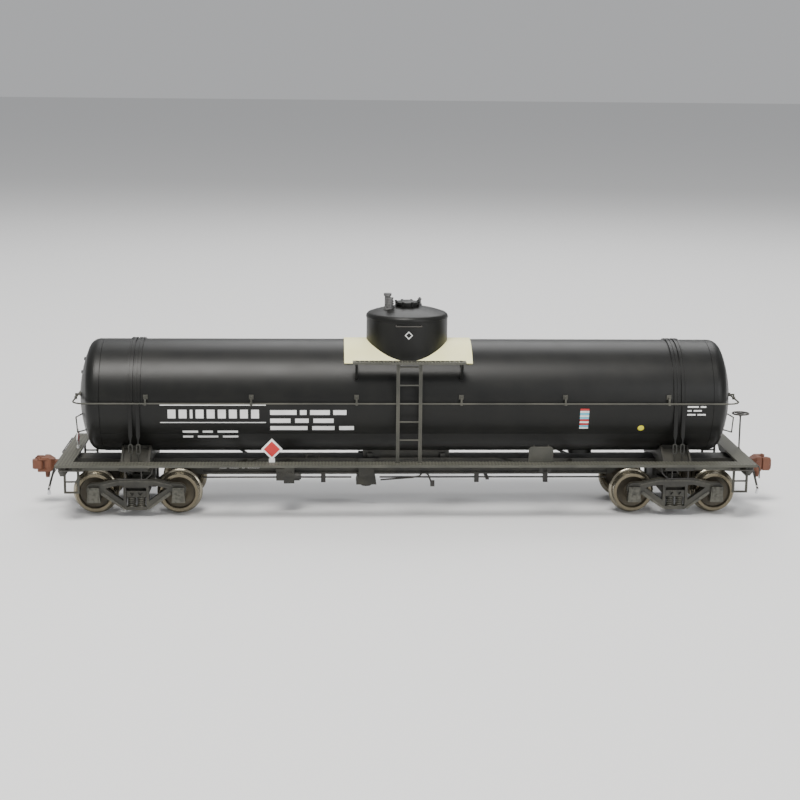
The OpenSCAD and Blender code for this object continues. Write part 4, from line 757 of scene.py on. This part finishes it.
print("hoses:", len(hose_parts), "with", len(clamp_parts), "clamps")

# %% [markdown]
# ## Rivets
# The underframe is riveted steel. A rivet head is a low dome with a few dozen faces, and
# a row of them is the same dome added to each place at once, which numpy does by adding
# an array of places to an array of dome points.


# %% Rows of rivet heads
def domes(centres, normal, radius, rise, around=8):
    """Rings at growing distance r from each centre, standing out by rise times the square
    root of 1 - (r / radius) squared, on a face with the given outward direction."""
    normal = np.asarray(normal, float)
    side = np.cross(normal, (0.36, 0.48, 0.8))
    side /= np.linalg.norm(side)
    other = np.cross(normal, side)
    share = np.array([0.0, 0.45, 0.8, 1.0, 1.0])
    out = rise * np.sqrt(1 - np.minimum(share, 1.0) ** 2)
    out[-1] = -0.3 * rise
    t = np.linspace(0, 2 * np.pi, around, endpoint=False)
    ring = np.cos(t)[:, None] * side + np.sin(t)[:, None] * other
    one = (share[:, None, None] * radius * ring[None] + out[:, None, None] * normal).reshape(-1, 3)
    faces = grid_faces(len(share), around, wrap_columns=True)[:, ::-1]
    last = (len(share) - 1) * around
    cap = np.array([[last, last + 1, last + 2, last + 3], [last, last + 3, last + 4, last + 7],
                    [last + 4, last + 5, last + 6, last + 7]])
    faces = np.concatenate([faces, cap])
    centres = np.asarray(centres, float)
    points = (centres[:, None, :] + one[None]).reshape(-1, 3)
    steps = np.arange(len(centres)) * len(one)
    return points, (faces[None] + steps[:, None, None]).reshape(-1, 4)


def row(first, last, count):
    """Evenly spaced places on the straight line between two points."""
    t = np.linspace(0, 1, count)[:, None]
    return np.asarray(first)[None] * (1 - t) + np.asarray(last)[None] * t


sill_low, sill_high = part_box("centre_sill")
rivet_rows = []
for side in (-1, 1):
    y = side * sill_high.y
    for z in (sill_low.z + 0.55 * MM, sill_high.z - 0.5 * MM):
        rivet_rows.append(domes(row((-0.0485, y, z), (0.0485, y, z), 66), (0, side, 0), 0.17 * MM, 0.10 * MM))
points, faces = joined(rivet_rows)
make_piece("sill_rivets", points, faces, frame_paint, "wagon")
print("rivets:", len(points) // 40, "on the centre sill")

# %% White marks on the centre sill
sill_marks = []
for x0, x1 in ((-45.0, -43.2), (-42.6, -40.4), (-39.6, -38.9), (-38.2, -35.4)):
    for side in (-1, 1):
        xs = np.array([x0, x1])[:, None] * MM * (-side)
        zs = np.array([9.75, 10.35])[None, :] * MM
        outer_y = side * (sill_high.y + 0.035 * MM)
        inner_y = side * (sill_high.y + 0.005 * MM)
        outer = np.stack(np.broadcast_arrays(xs, outer_y, zs), -1)
        inner = np.stack(np.broadcast_arrays(xs, inner_y, zs), -1)
        sill_marks.append(slab(outer, inner))
points, faces = joined(sill_marks)
make_piece("sill_white_bars", points, faces, white_paint, "wagon", smooth=False)

# %% [markdown]
# ## Placard faces
# The diamond placards are red with a white edge. The engineering part is the whole
# plate, painted white, and a slightly smaller red diamond lies on each side of it.

# %% Red faces on the white plates
placard_white = plain_paint("placard_white", (0.88, 0.88, 0.86))
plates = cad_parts["placard_diamonds"]
plates.data.materials.clear()
plates.data.materials.append(placard_white)
plate_low, plate_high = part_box("placard_diamonds")


def diamond_face(centre, half, across, outward):
    """A grid over a, b from 0 to 1 laid as a diamond: half (a - b) across and
    half (a + b - 1) up, as a closed slab just proud of the plate's face."""
    a, b = np.meshgrid([0.0, 0.5, 1.0], [0.0, 0.5, 1.0], indexing="ij")
    flat = np.asarray(centre)[None, None] + (half * (a - b))[..., None] * np.asarray(across, float)
    flat = flat + (half * (a + b - 1))[..., None] * np.array([0, 0, 1.0])
    outward = np.asarray(outward, float)
    return slab(flat + 0.03 * MM * outward, flat - 0.02 * MM * outward)


half_side, half_end = 2.5 * MM, 2.3 * MM
faces_list = []
for side in (-1, 1):
    centre_x = side * (plate_high.x - half_side)
    centre_z = plate_high.z - half_side
    plate_y = side * (plate_high.y - 0.3 * MM)
    for face in (-1, 1):
        faces_list.append(diamond_face((centre_x, plate_y + face * 0.15 * MM, centre_z), 0.76 * half_side,
                                       (1, 0, 0), (0, face, 0)))
end_x = plate_low.x + 0.3 * MM
for face in (-1, 1):
    faces_list.append(diamond_face((end_x + face * 0.138 * MM, 1.1 * MM, centre_z - 0.6 * MM), 0.76 * half_end,
                                   (0, 1, 0), (face, 0, 0)))
points, faces = joined(faces_list)
make_piece("placard_red_faces", points, faces, red_paint, "wagon", smooth=False)
print("red faces:", len(faces_list))
